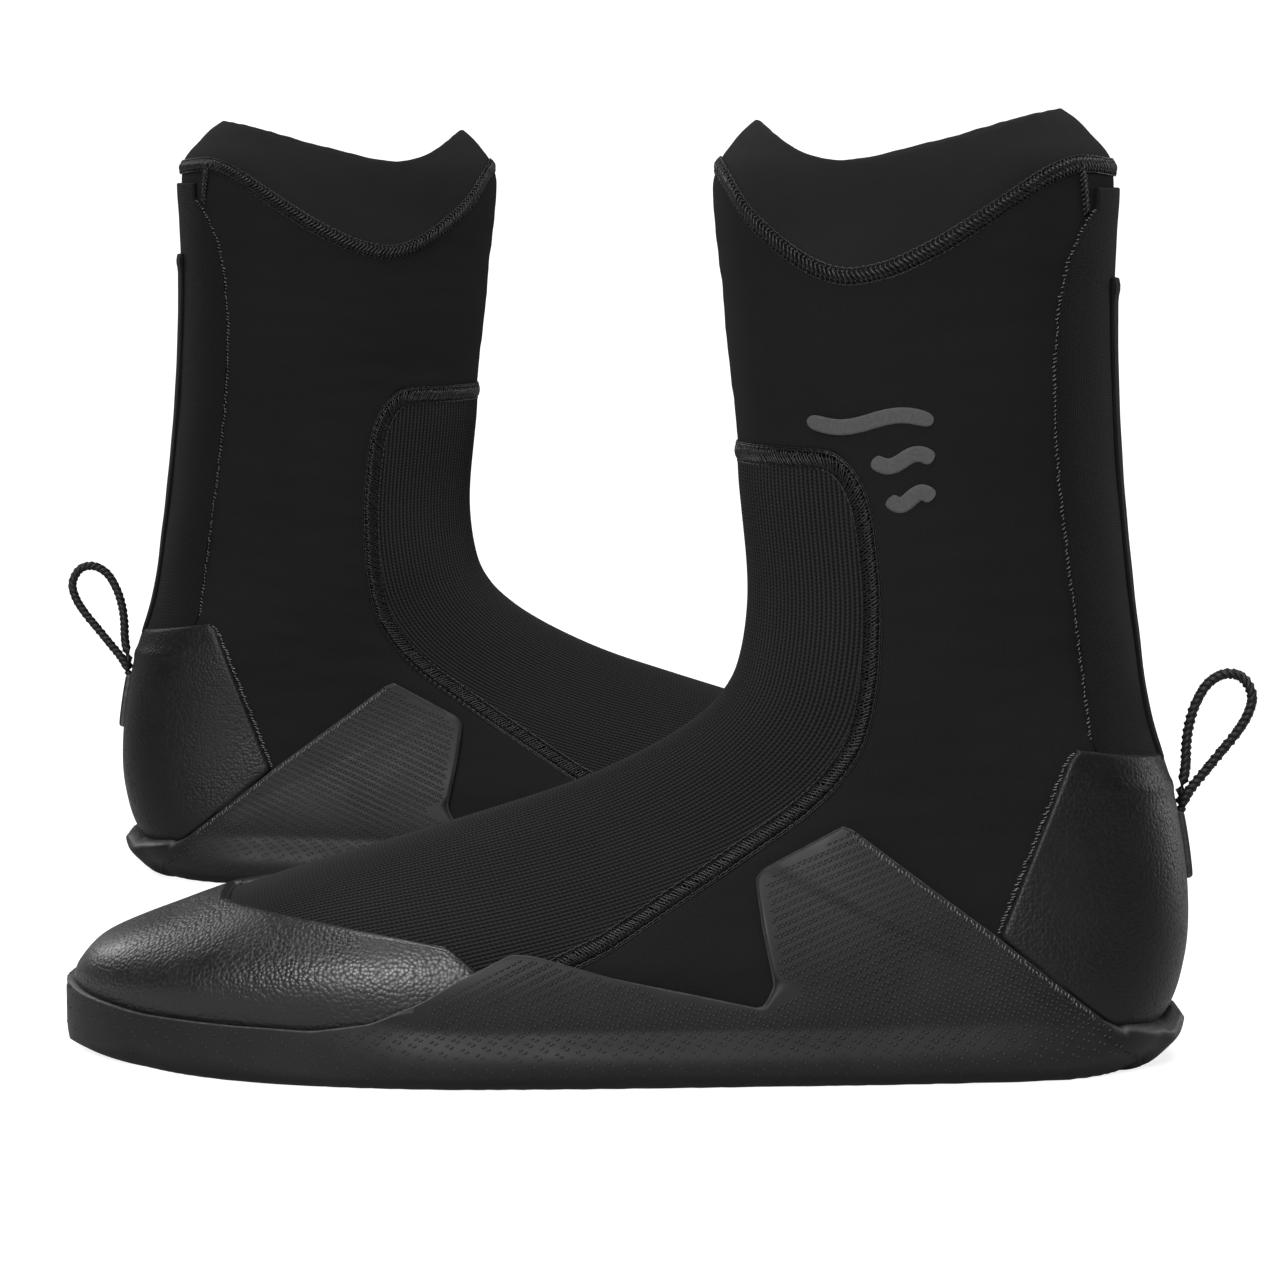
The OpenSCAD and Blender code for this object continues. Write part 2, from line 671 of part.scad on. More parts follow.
right_boot() loop_tab();  // right_loop_tab
right_boot() pull_loop();  // right_pull_loop
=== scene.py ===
"""A pair of high neoprene boots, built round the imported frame.

Every piece is drawn in the boot's own frame in millimetres: x from heel to toe, y towards
the outer side of the foot, z up. place() puts it where the frame says, turned round for
the left boot and mirrored for the right one.
"""
import math

import bmesh
import bpy
import numpy as np
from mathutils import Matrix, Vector, kdtree


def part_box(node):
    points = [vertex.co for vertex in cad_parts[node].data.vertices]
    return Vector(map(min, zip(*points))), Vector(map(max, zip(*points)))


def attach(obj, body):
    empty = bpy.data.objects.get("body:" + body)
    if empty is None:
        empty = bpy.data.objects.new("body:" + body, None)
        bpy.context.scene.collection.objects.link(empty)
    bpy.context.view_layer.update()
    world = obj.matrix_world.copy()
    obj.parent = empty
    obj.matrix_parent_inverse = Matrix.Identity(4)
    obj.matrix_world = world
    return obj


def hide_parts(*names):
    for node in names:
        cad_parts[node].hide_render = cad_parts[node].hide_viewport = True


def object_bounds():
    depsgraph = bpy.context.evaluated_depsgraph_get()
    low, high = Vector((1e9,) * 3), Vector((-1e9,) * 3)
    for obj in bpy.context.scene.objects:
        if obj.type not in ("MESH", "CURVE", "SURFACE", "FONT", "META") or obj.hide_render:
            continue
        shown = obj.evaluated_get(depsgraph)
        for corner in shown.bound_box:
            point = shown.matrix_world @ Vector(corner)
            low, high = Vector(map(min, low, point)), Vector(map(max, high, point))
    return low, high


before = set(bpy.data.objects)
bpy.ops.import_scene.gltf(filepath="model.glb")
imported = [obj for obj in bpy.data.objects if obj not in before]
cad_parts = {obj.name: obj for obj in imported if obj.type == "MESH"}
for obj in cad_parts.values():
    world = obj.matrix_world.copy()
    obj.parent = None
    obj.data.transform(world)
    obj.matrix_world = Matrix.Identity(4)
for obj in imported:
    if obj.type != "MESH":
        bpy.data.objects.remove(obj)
CAD_LO, CAD_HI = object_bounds()
SIDES = ("left", "right")

# ---------------------------------------------------------------- the boot's surface

# [front x, front z, back x, back z, half width, height of the widest point as a share,
#  roundness of the upper half, roundness of the lower half, sideways shift]
SECTIONS = np.array([
    [111, 242, 34.5, 245, 28, 0.50, 2, 2, 0],
    [117.5, 235.5, 27, 238.5, 33, 0.50, 2, 2, 0],
    [121.6, 228, 20.5, 230, 36.5, 0.50, 2, 2, 0],
    [121.6, 213, 20.5, 212, 37, 0.50, 2, 2, 0],
    [119.5, 195, 21, 194, 36.5, 0.50, 2, 2, 0],
    [116.8, 168, 20.2, 166, 36, 0.50, 2, 2, 0],
    [114.8, 141, 18, 139, 35.5, 0.50, 2, 2, 0],
    [113.6, 119, 15, 113, 35, 0.50, 2, 2.1, 0],
    [115.5, 103.5, 11.5, 90, 35, 0.50, 2, 2.2, 0],
    [120, 94.5, 5, 68, 35, 0.48, 2, 2.4, 0],
    [127.5, 87.5, 1.6, 46, 35, 0.46, 2, 2.6, 0],
    [137, 81.5, 2.4, 28, 35, 0.44, 2, 2.8, 0.5],
    [149, 75.5, 9, 12.5, 36, 0.42, 2, 3.2, 1],
    [161, 70.5, 25, 6.5, 37.5, 0.40, 2, 3.6, 1.5],
    [176, 65.5, 62, 5.5, 39, 0.38, 2, 4, 2.5],
    [193, 60, 105, 5.5, 42, 0.37, 2.05, 4, 2.5],
    [212, 54, 150, 5.5, 46, 0.36, 2.1, 4, 1],
    [229, 48.5, 188, 5.5, 48, 0.36, 2.15, 4, -1],
    [245, 42.5, 220, 6.2, 46, 0.38, 2.2, 3.8, -4],
    [259, 37, 245, 8, 41, 0.40, 2.25, 3.6, -7],
    [272, 32, 266, 10.2, 32, 0.42, 2.3, 3.2, -9.5],
    [281, 27.5, 279, 12.2, 21.5, 0.45, 2.3, 2.8, -11.5],
    [286, 22, 285.6, 14.5, 10.5, 0.5, 2.2, 2.4, -12.5],
    [287.2, 18.6, 287.2, 18, 1, 0.5, 2, 2, -12.8],
], float)
LAST = len(SECTIONS) - 1
TIP = LAST - 0.12
NOSE_TIP = LAST - 0.02

# Pattern lines, drawn from the side as [x, z].
RIM = [[111, 242], [105, 236], [99.5, 233], [91.5, 231.5], [81.5, 232.5], [69.5, 235.5],
       [58, 238.5], [45, 242.5], [34.5, 245]]
CUFF_SEAM = [[121.5, 231], [114.5, 218], [106, 210], [98, 204.5], [90, 202], [78.5, 204.5],
             [65.5, 211], [53, 219], [40, 227.5], [31.5, 231], [20.6, 229.5]]
KNIT_SEAM = [[93, 156.5], [88.5, 152], [85.5, 144], [84, 133.5], [83, 122.5], [83, 113],
             [83.5, 102], [85, 92], [87.5, 84], [94, 75], [101.5, 68], [111.5, 61],
             [121, 54.5], [150.5, 36], [161, 31.5], [173, 24], [186, 14]]
FEATHER_LINE = [[9, 13], [14, 12], [22, 11.5], [60, 11.5], [110, 12], [150, 12], [190, 12],
                [220, 12.5], [250, 14], [272, 16], [284, 17.5]]
SOLE_EDGE = [[89, 65], [110, 53.5], [112, 51], [110.5, 39.5], [107.5, 25.5], [110.5, 20],
             [131, 24.5], [148, 28], [167, 33], [173, 33.5], [179.5, 30.5], [187.5, 27],
             [195.5, 22.5], [208, 17], [223, 14.5], [242, 14.5], [266, 15], [281.5, 17],
             [286.4, 18.4]]
WING_BACK = [[89, 65], [52.5, 38], [27, 17.5], [17, 9.6]]
HEEL_FRONT = [[31.5, 83], [33.5, 81], [50.5, 37.5]]
ACHILLES_EDGE = [[27, 219], [29.5, 216], [34, 207], [36.5, 195.5], [37.5, 180], [37, 162],
                 [35.5, 146.5], [33.5, 131], [30.5, 109], [27.5, 86]]
CAP_EDGE = [[179.5, 30.8], [187.5, 35], [199.5, 37], [221, 40], [235, 41], [246, 41.2]]

# Rows where a pattern piece starts or ends, as section numbers.
KNIT_TOP = 5.4
LEG_END = 16.9
HEEL_START = 8.47
HEEL_END = 12.45
WING_TOP = 10.85
LIP_TOP = 11.75
CAP_BRIDGE = 18.15
BACK_TOP = 2.35
TAPE_TOP = 3.62
BOTTOM_START = 12.35
INSOLE_START = 13.1
INSOLE_END = 20.8
LINING_TOP = 4
LINING_END = 21.85
TAB_START = 9.2
TAB_END = 9.95
TEXTURE_END = 0.86

# Places round the section, as v: the wing's rear limit, the heel lip's upper edge, where the
# outsole starts to lie over the heel cup, and the edges of the tape and of the loop's tab.
WING_LIMIT = 0.9
LIP_V = 0.975
CUP_V = 0.88
TAPE_V = np.array([[TAPE_TOP, 0.91], [HEEL_START, 0.93]])
TAB_V = np.array([[TAB_START, 0.965], [TAB_END, 0.965]])

NEOPRENE = 4.0
CUFF_WALL = 3.0
GLUE = 0.05
SEAM_V = 0.005

# Heights of the outer faces above the neoprene.
CAP_TOP = 2.1
HEEL_TOP = 2.0
WOVEN_TOP = 1.3
TAPE_FACE = 2.2
TAB_TOP = 3.6

# Points of the pull loop, in the boot's middle plane as [x, z].
LOOP_ROUTE = [[0.6, 66], [-1.4, 69.5], [-5, 74], [-9, 79], [-13, 84], [-16, 89], [-17, 94],
              [-14.5, 98.5], [-10, 99.5], [-5.6, 97], [-2.6, 92], [-0.9, 86.5], [-0.2, 81],
              [-0.1, 76], [0.4, 72]]
LOOP_START = [[1.2, 62.6], [0.9, 64.3]]
LOOP_END = [[1.1, 69], [1.6, 66]]
LOOP_BACK = -18.5
STRANDS = 3
STRAND_R = 0.80
STRAND_WINDING = 0.72
STRAND_PITCH = 5.2

CAMERA_LENS = 126.14
CAMERA_ASIDE = 0.014
CAMERA_AWAY = 1.0978
CAMERA_HEIGHT = 0.2297
CAMERA_TILT = 0.1052


def smooth(k):
    c = np.clip(k, 0, 1)
    return c * c * (3 - 2 * c)


def unit(p):
    return p / np.maximum(np.linalg.norm(p, axis=-1, keepdims=True), 1e-9)


def lengths(p):
    """Distance of each point of a line from its start."""
    return np.concatenate([[0], np.cumsum(np.linalg.norm(np.diff(p, axis=0), axis=-1))])


def wide(x, cols):
    """A column of values, repeated in cols columns."""
    return np.repeat(x[:, None], cols, 1)


def catmull(rows, t):
    """A smooth curve through rows, at places t from 0 to the last row's number."""
    last = len(rows) - 1
    t = np.clip(t, 0, last)
    i = np.minimum(t.astype(int), last - 1)
    k = (t - i)[..., None]
    b, c = rows[i], rows[i + 1]
    a = np.where((i > 0)[..., None], rows[np.maximum(i - 1, 0)], 2 * b - c)
    d = np.where((i + 2 <= last)[..., None], rows[np.minimum(i + 2, last)], 2 * c - b)
    return 0.5 * (2 * b + (c - a) * k + (2 * a - 5 * b + 4 * c - d) * k**2
                  + (3 * b - a - 3 * c + d) * k**3)


def skin(t, v):
    """Points of the neoprene's outer surface. v is 0 at the front or top and +-1 at the back."""
    t, v = np.broadcast_arrays(np.asarray(t, float), np.asarray(v, float))
    s = catmull(SECTIONS, t)
    c, up = np.cos(np.pi * np.abs(v)), np.abs(v) <= 0.5
    e = 2 / np.where(up, s[..., 6], s[..., 7])
    power = np.abs(c) ** e
    share = np.where(up, s[..., 5] + (1 - s[..., 5]) * power, s[..., 5] * (1 - power))
    half = s[..., 4] * np.clip(np.sin(np.pi * np.abs(v)), 0, 1) ** e
    return np.stack([s[..., 2] + (s[..., 0] - s[..., 2]) * share,
                     s[..., 8] + np.sign(v) * half,
                     s[..., 3] + (s[..., 1] - s[..., 3]) * share], -1)


def around(v):
    return (np.asarray(v) + 1) % 2 - 1


def outward(t, v):
    t, v = np.broadcast_arrays(np.asarray(t, float), np.asarray(v, float))
    k = np.clip(t, 0.02, LAST - 0.03)
    down = skin(k + 0.02, v) - skin(k - 0.02, v)
    across = skin(k, around(v + 0.004)) - skin(k, around(v - 0.004))
    return unit(np.cross(down, across))


def raised(t, v, h):
    return skin(t, v) + np.asarray(h)[..., None] * outward(t, v)


def locate(line):
    """[t, v] of points drawn in the side view."""
    p = np.asarray(line, float)
    low, high = np.zeros(len(p)), np.full(len(p), float(LAST))
    for _ in range(30):
        mid = (low + high) / 2
        s = catmull(SECTIONS, mid)
        above = ((s[:, 0] - s[:, 2]) * (p[:, 1] - s[:, 3])
                 - (s[:, 1] - s[:, 3]) * (p[:, 0] - s[:, 2])) > 0
        high, low = np.where(above, mid, high), np.where(above, low, mid)
    t = (low + high) / 2
    s = catmull(SECTIONS, t)
    chord = np.stack([s[:, 0] - s[:, 2], s[:, 1] - s[:, 3]], -1)
    share = np.clip(((p - s[:, [2, 3]]) * chord).sum(-1) / (chord**2).sum(-1), 0, 1)
    m = s[:, 5]
    up = np.clip((share - m) / (1 - m), 0, 1) ** (s[:, 6] / 2)
    down = -np.clip((m - share) / m, 0, 1) ** (s[:, 7] / 2)
    return np.stack([t, np.arccos(np.clip(np.where(share >= m, up, down), -1, 1)) / np.pi], -1)


def drawn(line, rounding=0, step=0.5):
    """Points every step millimetres along a line, with its corners rounded."""
    p = np.asarray(line, float)
    s = lengths(p)
    f = np.linspace(0, s[-1], int(math.ceil(s[-1] / step)) + 1)
    p = np.stack([np.interp(f, s, p[:, k]) for k in range(p.shape[1])], -1)
    for _ in range(rounding):
        p[1:-1] = (p[:-2] + 2 * p[1:-1] + p[2:]) / 4
    return p


def by_t(line, rounding):
    q = locate(drawn(line, rounding))
    return q[np.argsort(q[:, 0], kind="stable")]


def by_v(line, rounding):
    q = locate(drawn(line, rounding))[:, ::-1]
    return q[np.argsort(q[:, 0], kind="stable")]


def lookup(x, table):
    return np.interp(x, table[:, 0], table[:, 1])


RIM_T, CUFF_T = by_v(RIM, 60), by_v(CUFF_SEAM, 60)
KNIT_V, FEATHER_V, SOLE_V = by_t(KNIT_SEAM, 50), by_t(FEATHER_LINE, 20), by_t(SOLE_EDGE, 8)
WING_V, HEEL_V, ACHILLES_V = by_t(WING_BACK, 0), by_t(HEEL_FRONT, 3), by_t(ACHILLES_EDGE, 60)
CAP_V = by_t(CAP_EDGE, 40)


def panel_v(t):
    return np.where(t < FEATHER_V[0, 0], 1.0, lookup(t, FEATHER_V))


def waves(p, seed, size, count=12):
    """Smooth noise of about unit height at points p, with bumps about size across."""
    rng = np.random.default_rng(seed)
    way = unit(rng.normal(size=(count, 3)))
    way = way * (2 * np.pi / size * rng.uniform(0.6, 1.5, (count, 1)))
    phase = rng.uniform(0, 2 * np.pi, count)
    return np.sin(p @ way.T + phase).sum(-1) / math.sqrt(count)


# ---------------------------------------------------------------- camera

scene = bpy.context.scene
lens = bpy.data.cameras.new("camera")
lens.lens = CAMERA_LENS
lens.sensor_width = 36
camera = bpy.data.objects.new("camera", lens)
scene.collection.objects.link(camera)
camera.location = ((CAD_LO[0] + CAD_HI[0]) / 2 + CAMERA_ASIDE,
                   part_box("left_outsole")[0][1] - CAMERA_AWAY, CAMERA_HEIGHT)
camera.rotation_euler = (math.pi / 2 - CAMERA_TILT, 0, 0)
scene.camera = camera

# ---------------------------------------------------------------- meshes

ORIGIN = {}
for side, sign in (("left", 1), ("right", -1)):
    lo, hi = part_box(side + "_pull_loop")
    heel = hi[0] if side == "left" else lo[0]
    ORIGIN[side] = np.array([heel + sign * LOOP_BACK / 1000, (lo[1] + hi[1]) / 2, 0.0])


def place(points, side):
    """From the boot's own frame in millimetres to the row frame in metres."""
    turn = [-1, -1, 1] if side == "left" else [1, -1, 1]
    return ORIGIN[side] + np.asarray(points) * turn / 1000


def build(name, points, groups, material, body=None, uv=None, rim=None, stands_for=None,
          slot=None, sides=SIDES):
    """One object for each boot from points and lists of faces of the same size."""
    groups = [np.asarray(g) for g in groups if len(g)]
    made = []
    for side in sides:
        where = place(points, side)
        volume = sum((where[g[:, 0]] * np.cross(where[g[:, k]], where[g[:, k + 1]])).sum()
                     for g in groups for k in range(1, g.shape[1] - 1))
        faces = [g if volume > 0 else g[:, ::-1] for g in groups]
        loops = np.concatenate([f.ravel() for f in faces]).astype(np.int32)
        sizes = np.concatenate([np.full(len(f), f.shape[1]) for f in faces])
        starts = np.concatenate([[0], np.cumsum(sizes)[:-1]]).astype(np.int32)
        mesh = bpy.data.meshes.new(side + "_" + name)
        mesh.vertices.add(len(where))
        mesh.vertices.foreach_set("co", where.ravel())
        mesh.loops.add(len(loops))
        mesh.loops.foreach_set("vertex_index", loops)
        mesh.polygons.add(len(sizes))
        mesh.polygons.foreach_set("loop_start", starts)
        mesh.update(calc_edges=True)
        mesh.polygons.foreach_set("use_smooth", np.ones(len(sizes), bool))
        if uv is not None:
            layer = mesh.uv_layers.new(name="cloth")
            layer.uv.foreach_set("vector", np.asarray(uv, np.float32)[loops].ravel())
        if rim is not None:
            mesh.attributes.new("rim", "FLOAT", "POINT").data.foreach_set(
                "value", np.asarray(rim, np.float32))
        mesh.validate()
        piece = bpy.data.objects.new("visual_" + side + "_" + name, mesh)
        scene.collection.objects.link(piece)
        mesh.materials.append(material)
        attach(piece, side + "_" + (body or "boot"))
        if stands_for:
            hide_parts(side + "_" + stands_for)
        if slot or stands_for:
            slot or stands_for
        made.append(piece)
    return made


def compact(points, groups, *arrays):
    """Drops the points that no face uses."""
    used = np.unique(np.concatenate([g.ravel() for g in groups if len(g)]))
    order = np.full(len(points), -1)
    order[used] = np.arange(len(used))
    return (points[used], [order[g] for g in groups if len(g)], *[a[used] for a in arrays])


def walls(cell, cols, ring):
    """The four sides of the kept cells that no kept neighbour shares, as pairs of points."""
    empty = np.zeros_like(cell)
    up, down, before, after = (empty.copy() for _ in range(4))
    up[1:], down[:-1] = cell[:-1], cell[1:]
    before[:, 1:], after[:, :-1] = cell[:, :-1], cell[:, 1:]
    if ring:
        before[:, 0], after[:, -1] = cell[:, -1], cell[:, 0]
    edges = []
    for near, first, second in ((up, (0, 0), (0, 1)), (before, (1, 0), (0, 0)),
                                (down, (1, 1), (1, 0)), (after, (0, 1), (1, 1))):
        i, j = np.nonzero(cell & ~near)
        edges.append(np.stack([(i + first[0]) * cols + (j + first[1]) % cols,
                               (i + second[0]) * cols + (j + second[1]) % cols], -1))
    return np.concatenate(edges)


def slab(name, t, v, low, high, material, keep=None, ring=False, edge=0.8, lip=0.3,
         relief=None, shape=None, face=None, start=0.0):
    """A sheet over a grid of [t, v], from height low to high.

    keep says which cells are there, edge and lip how wide and how high its rounded edges are,
    relief adds to its height, face moves its outer points and shape all of them. start is the
    cloth's own length from the middle to the first column, row by row.
    """
    rows, cols = t.shape
    base, up = skin(t, v), outward(t, v)
    width = cols if ring else cols - 1
    cell = np.ones((rows - 1, width), bool) if keep is None else keep
    rim_edges = walls(cell, cols, ring)
    flat = base.reshape(-1, 3)
    share = np.linspace(0, 1, 6)[:-1, None, None]
    border = (flat[rim_edges[:, 0]] * (1 - share) + flat[rim_edges[:, 1]] * share).reshape(-1, 3)
    tree = kdtree.KDTree(len(border))
    for n, point in enumerate(border):
        tree.insert(point, n)
    tree.balance()
    far = np.array([tree.find(p)[2] for p in flat]).reshape(rows, cols)
    across = np.zeros((rows, cols))
    across[:, 1:] = np.cumsum(np.linalg.norm(np.diff(base, axis=1), axis=-1), axis=1)
    if not ring:
        across -= across[:, [cols // 2]]
        across += np.sign(np.arange(cols) - cols // 2) * np.broadcast_to(start, (rows,))[:, None]
    along = np.zeros((rows, cols))
    along[1:] = np.cumsum(np.linalg.norm(np.diff(base, axis=0), axis=-1), axis=0)
    low, high = (np.broadcast_to(np.asarray(h, float), (rows, cols)) for h in (low, high))
    bend = np.clip(far / edge, 0, 1)
    height = low + (high - low) * (lip + (1 - lip) * np.sqrt(1 - (1 - bend) ** 2))
    if relief is not None:
        height = height + relief(base, across, along, far)
    outer, inner = base + height[..., None] * up, base + low[..., None] * up
    if face is not None:
        outer = face(outer, t, v)
    if shape is not None:
        outer, inner = shape(outer), shape(inner)
    total = rows * cols
    i, j = np.nonzero(cell)
    k = (j + 1) % cols
    a, b, c, d = i * cols + j, i * cols + k, (i + 1) * cols + k, (i + 1) * cols + j
    groups = [np.stack([a, d, c, b], -1), np.stack([a, b, c, d], -1) + total,
              np.stack([rim_edges[:, 0], rim_edges[:, 1], rim_edges[:, 1] + total,
                        rim_edges[:, 0] + total], -1)]
    points = np.concatenate([outer.reshape(-1, 3), inner.reshape(-1, 3)])
    uv = np.tile(np.stack([across.ravel(), along.ravel()], -1), (2, 1))
    rim = np.tile(np.clip(1 - far.ravel() / 1.5, 0, 1), 2)
    points, groups, uv, rim = compact(points, groups, uv, rim)
    return build(name, points, groups, material, uv=uv, rim=rim, stands_for=name)


def spread(count, width, edge=0.8):
    """count steps from 0 to 1 over a width in millimetres, with extra ones at both edges."""
    near = np.array([0, 0.06, 0.2, 0.45, 0.75]) * edge / width
    middle = np.linspace(edge / width, 1 - edge / width, count)
    return np.concatenate([near, middle, 1 - near[::-1]])


def back_patch(t0, t1, edge, rows, cols, length, width, gap=0.0):
    """A grid across the back, as far as the edge line on both sides."""
    t = t0 + (t1 - t0) * spread(rows, length)
    reach = 1 - lookup(t, edge) - gap
    s = spread(cols, width) * 2 - 1
    return wide(t, len(s)), around(1 + reach[:, None] * s[None] + 1e-9)


def tubes(centres, ups, radius, sides=6):
    """Closed round threads along centres (n, m, 3), with their own up directions."""
    n, m = centres.shape[:2]
    ahead = np.empty_like(centres)
    ahead[:, 1:-1] = centres[:, 2:] - centres[:, :-2]
    ahead[:, 0], ahead[:, -1] = centres[:, 1] - centres[:, 0], centres[:, -1] - centres[:, -2]
    ahead = unit(ahead)
    left = unit(np.cross(ahead, ups))
    top = np.cross(left, ahead)
    a = np.arange(sides) * 2 * np.pi / sides
    radius = np.broadcast_to(np.asarray(radius, float), (n, m))[..., None, None]
    ring = (np.cos(a)[:, None] * left[:, :, None] + np.sin(a)[:, None] * top[:, :, None]) * radius
    points = (centres[:, :, None] + ring).reshape(-1, 3)
    grid = np.arange(n * m * sides).reshape(n, m, sides)
    nxt = np.roll(grid, -1, 2)
    quads = np.stack([grid[:, :-1], nxt[:, :-1], nxt[:, 1:], grid[:, 1:]], -1).reshape(-1, 4)
    ends = np.concatenate([grid[:, 0, ::-1], grid[:, -1]])
    return points, [quads, ends]


def join(parts):
    points, groups, start = [], [], 0
    for p, g in parts:
        points.append(p)
        groups += [x + start for x in g]
        start += len(p)
    return np.concatenate(points), groups


class Route:
    """A line of [t, v] on the surface, with places given as length, sideways and height."""

    def __init__(self, line, soft=0):
        q = np.asarray(line, float)
        for _ in range(soft):
            q[1:-1] = (q[:-2] + 2 * q[1:-1] + q[2:]) / 4
        p = skin(q[:, 0], q[:, 1])
        s = lengths(p)
        self.length, self.s = s[-1], s
        self.p, self.up = p, outward(q[:, 0], q[:, 1])
        self.side = unit(np.cross(np.gradient(p, s, axis=0), self.up))

    def at(self, s, x, h):
        s = np.clip(s, 0, self.length)
        p, up, side = (np.stack([np.interp(s, self.s, f[:, k]) for k in range(3)], -1)
                       for f in (self.p, self.up, self.side))
        up = unit(up)
        return p + np.asarray(x)[..., None] * side + np.asarray(h)[..., None] * up, up


def strokes(route, start, end, pitch, x0, x1, slant, radius, lift, arch, seed, m=5, wobble=0.12):
    """Short threads across a seam, one every pitch, each sunk in at both ends."""
    rng = np.random.default_rng(seed)
    s = np.arange(start, end, pitch)
    s = s + rng.uniform(-0.5, 0.5, len(s)) * wobble * pitch
    k = np.linspace(0, 1, m)[None]
    x0 = x0 + rng.uniform(-1, 1, len(s)) * wobble
    x1 = x1 + rng.uniform(-1, 1, len(s)) * wobble
    x = x0[:, None] * (1 - k) + x1[:, None] * k
    h = lift + arch * (1 - (2 * k - 1) ** 2) * rng.uniform(0.8, 1.2, len(s))[:, None]
    p, up = route.at(s[:, None] + slant * (k - 0.5), x, h)
    return tubes(p, up, radius * rng.uniform(0.85, 1.15, len(s))[:, None])


def strand(route, start, end, x, h, radius, twist):
    """One long thread beside a seam, wound round the line x, h."""
    s = np.arange(start, end, 0.5)
    a = 2 * np.pi * s / 1.9
    p, up = route.at(s, x + twist * np.cos(a), h + twist * np.sin(a))
    return tubes(p[None], up[None], radius)


# ---------------------------------------------------------------- materials


class Nodes:
    """A short way to write a material's nodes."""

    def __init__(self, name, rough, **inputs):
        self.mat = bpy.data.materials.new(name)
        self.mat.use_nodes = True
        self.tree = self.mat.node_tree
        self.bsdf = self.tree.nodes["Principled BSDF"]
        self.bsdf.inputs["Roughness"].default_value = rough
        for key, value in inputs.items():
            self.bsdf.inputs[key.replace("_", " ")].default_value = value
        self.uv = self.add("ShaderNodeUVMap", uv_map="cloth").outputs["UV"]
        self.object = self.add("ShaderNodeTexCoord").outputs["Object"]

    def add(self, kind, **values):
        node = self.tree.nodes.new(kind)
        for key, value in values.items():
            setattr(node, key, value)
        return node

    def put(self, socket, value):
        if isinstance(value, bpy.types.NodeSocket):
            self.tree.links.new(value, socket)
        else:
            socket.default_value = value

    def math(self, operation, *values):
        node = self.add("ShaderNodeMath", operation=operation)
        for socket, value in zip(node.inputs, values):
            self.put(socket, value)
        return node.outputs[0]

    def plus(self, a, b):
        return self.math("ADD", a, b)

    def times(self, a, b):
        return self.math("MULTIPLY", a, b)

    def line(self, a, slope, start):
        return self.math("MULTIPLY_ADD", a, slope, start)

    def rest(self, a):
        return self.math("SUBTRACT", 1.0, a)

    def scaled(self, vector, x, y):
        node = self.add("ShaderNodeVectorMath", operation="MULTIPLY")
        self.put(node.inputs[0], vector)
        node.inputs[1].default_value = (x, y, 1.0)
        return node.outputs[0]

    def axes(self, vector):
        node = self.add("ShaderNodeSeparateXYZ")
        self.put(node.inputs[0], vector)
        return node.outputs

    def noise(self, vector, scale, detail, rough=0.5):
        node = self.add("ShaderNodeTexNoise")
        self.put(node.inputs["Vector"], vector)
        node.inputs["Scale"].default_value = scale
        node.inputs["Detail"].default_value = detail
        node.inputs["Roughness"].default_value = rough
        return node.outputs["Fac"]

    def cells(self, vector, scale, randomness=1.0):
        node = self.add("ShaderNodeTexVoronoi", feature="F1")
        self.put(node.inputs["Vector"], vector)
        node.inputs["Scale"].default_value = scale
        node.inputs["Randomness"].default_value = randomness
        return node.outputs["Distance"]

    def ramp(self, value, *stops):
        """A grey for a value, between two stops of position and shade."""
        node = self.add("ShaderNodeValToRGB")
        self.put(node.inputs["Fac"], value)
        for element, (position, shade) in zip(node.color_ramp.elements, stops):
            element.position = position
            element.color = (shade, shade, shade, 1)
        return node.outputs["Color"]

    def spread(self, value, low, high, to_low=0.0, to_high=1.0):
        node = self.add("ShaderNodeMapRange")
        self.put(node.inputs["Value"], value)
        for key, x in (("From Min", low), ("From Max", high),
                       ("To Min", to_low), ("To Max", to_high)):
            node.inputs[key].default_value = x
        return node.outputs["Result"]

    def attribute(self, name):
        return self.add("ShaderNodeAttribute", attribute_name=name).outputs["Fac"]

    def wave(self, value, pitch, phase=0.0):
        """A sine of a length in millimetres, from 0 to 1."""
        angle = self.line(value, 2 * math.pi / pitch, phase)
        return self.line(self.math("SINE", angle), 0.5, 0.5)

    def bump(self, height, millimetres, strength):
        node = self.add("ShaderNodeBump")
        node.inputs["Strength"].default_value = strength
        node.inputs["Distance"].default_value = millimetres / 1000
        self.put(node.inputs["Height"], height)
        self.put(self.bsdf.inputs["Normal"], node.outputs["Normal"])
        return self

    def colour(self, value):
        self.put(self.bsdf.inputs["Base Color"], value)
        return self

    def roughness(self, value):
        self.put(self.bsdf.inputs["Roughness"], value)
        return self


def jersey(name, level, pitch, depth=0.05):
    """Smooth knitted face of neoprene: fine upright lines, specks and a soft sheen."""
    n = Nodes(name, rough=0.9, Specular_IOR_Level=0.07, Sheen_Weight=0.008, Sheen_Roughness=0.6)
    u = n.axes(n.uv)[0]
    wander = n.line(n.noise(n.scaled(n.uv, 0.12, 0.05), 1.0, 3), 1.1, u)
    lines = n.wave(wander, pitch)
    specks = n.noise(n.scaled(n.uv, 2.2, 0.9), 1.0, 3, 0.65)
    patches = n.noise(n.scaled(n.uv, 0.035, 0.02), 1.0, 3)
    tone = n.times(n.line(lines, 0.30, 0.70),
                  n.line(specks, 0.9, 0.55))
    tone = n.times(tone, n.line(patches, 0.35, 0.83))
    n.colour(n.ramp(tone, (0.25, level * 0.55), (1.0, level * 1.35)))
    height = n.line(specks, 0.9, n.times(lines, 0.7))
    return n.bump(height, depth, 0.8).mat


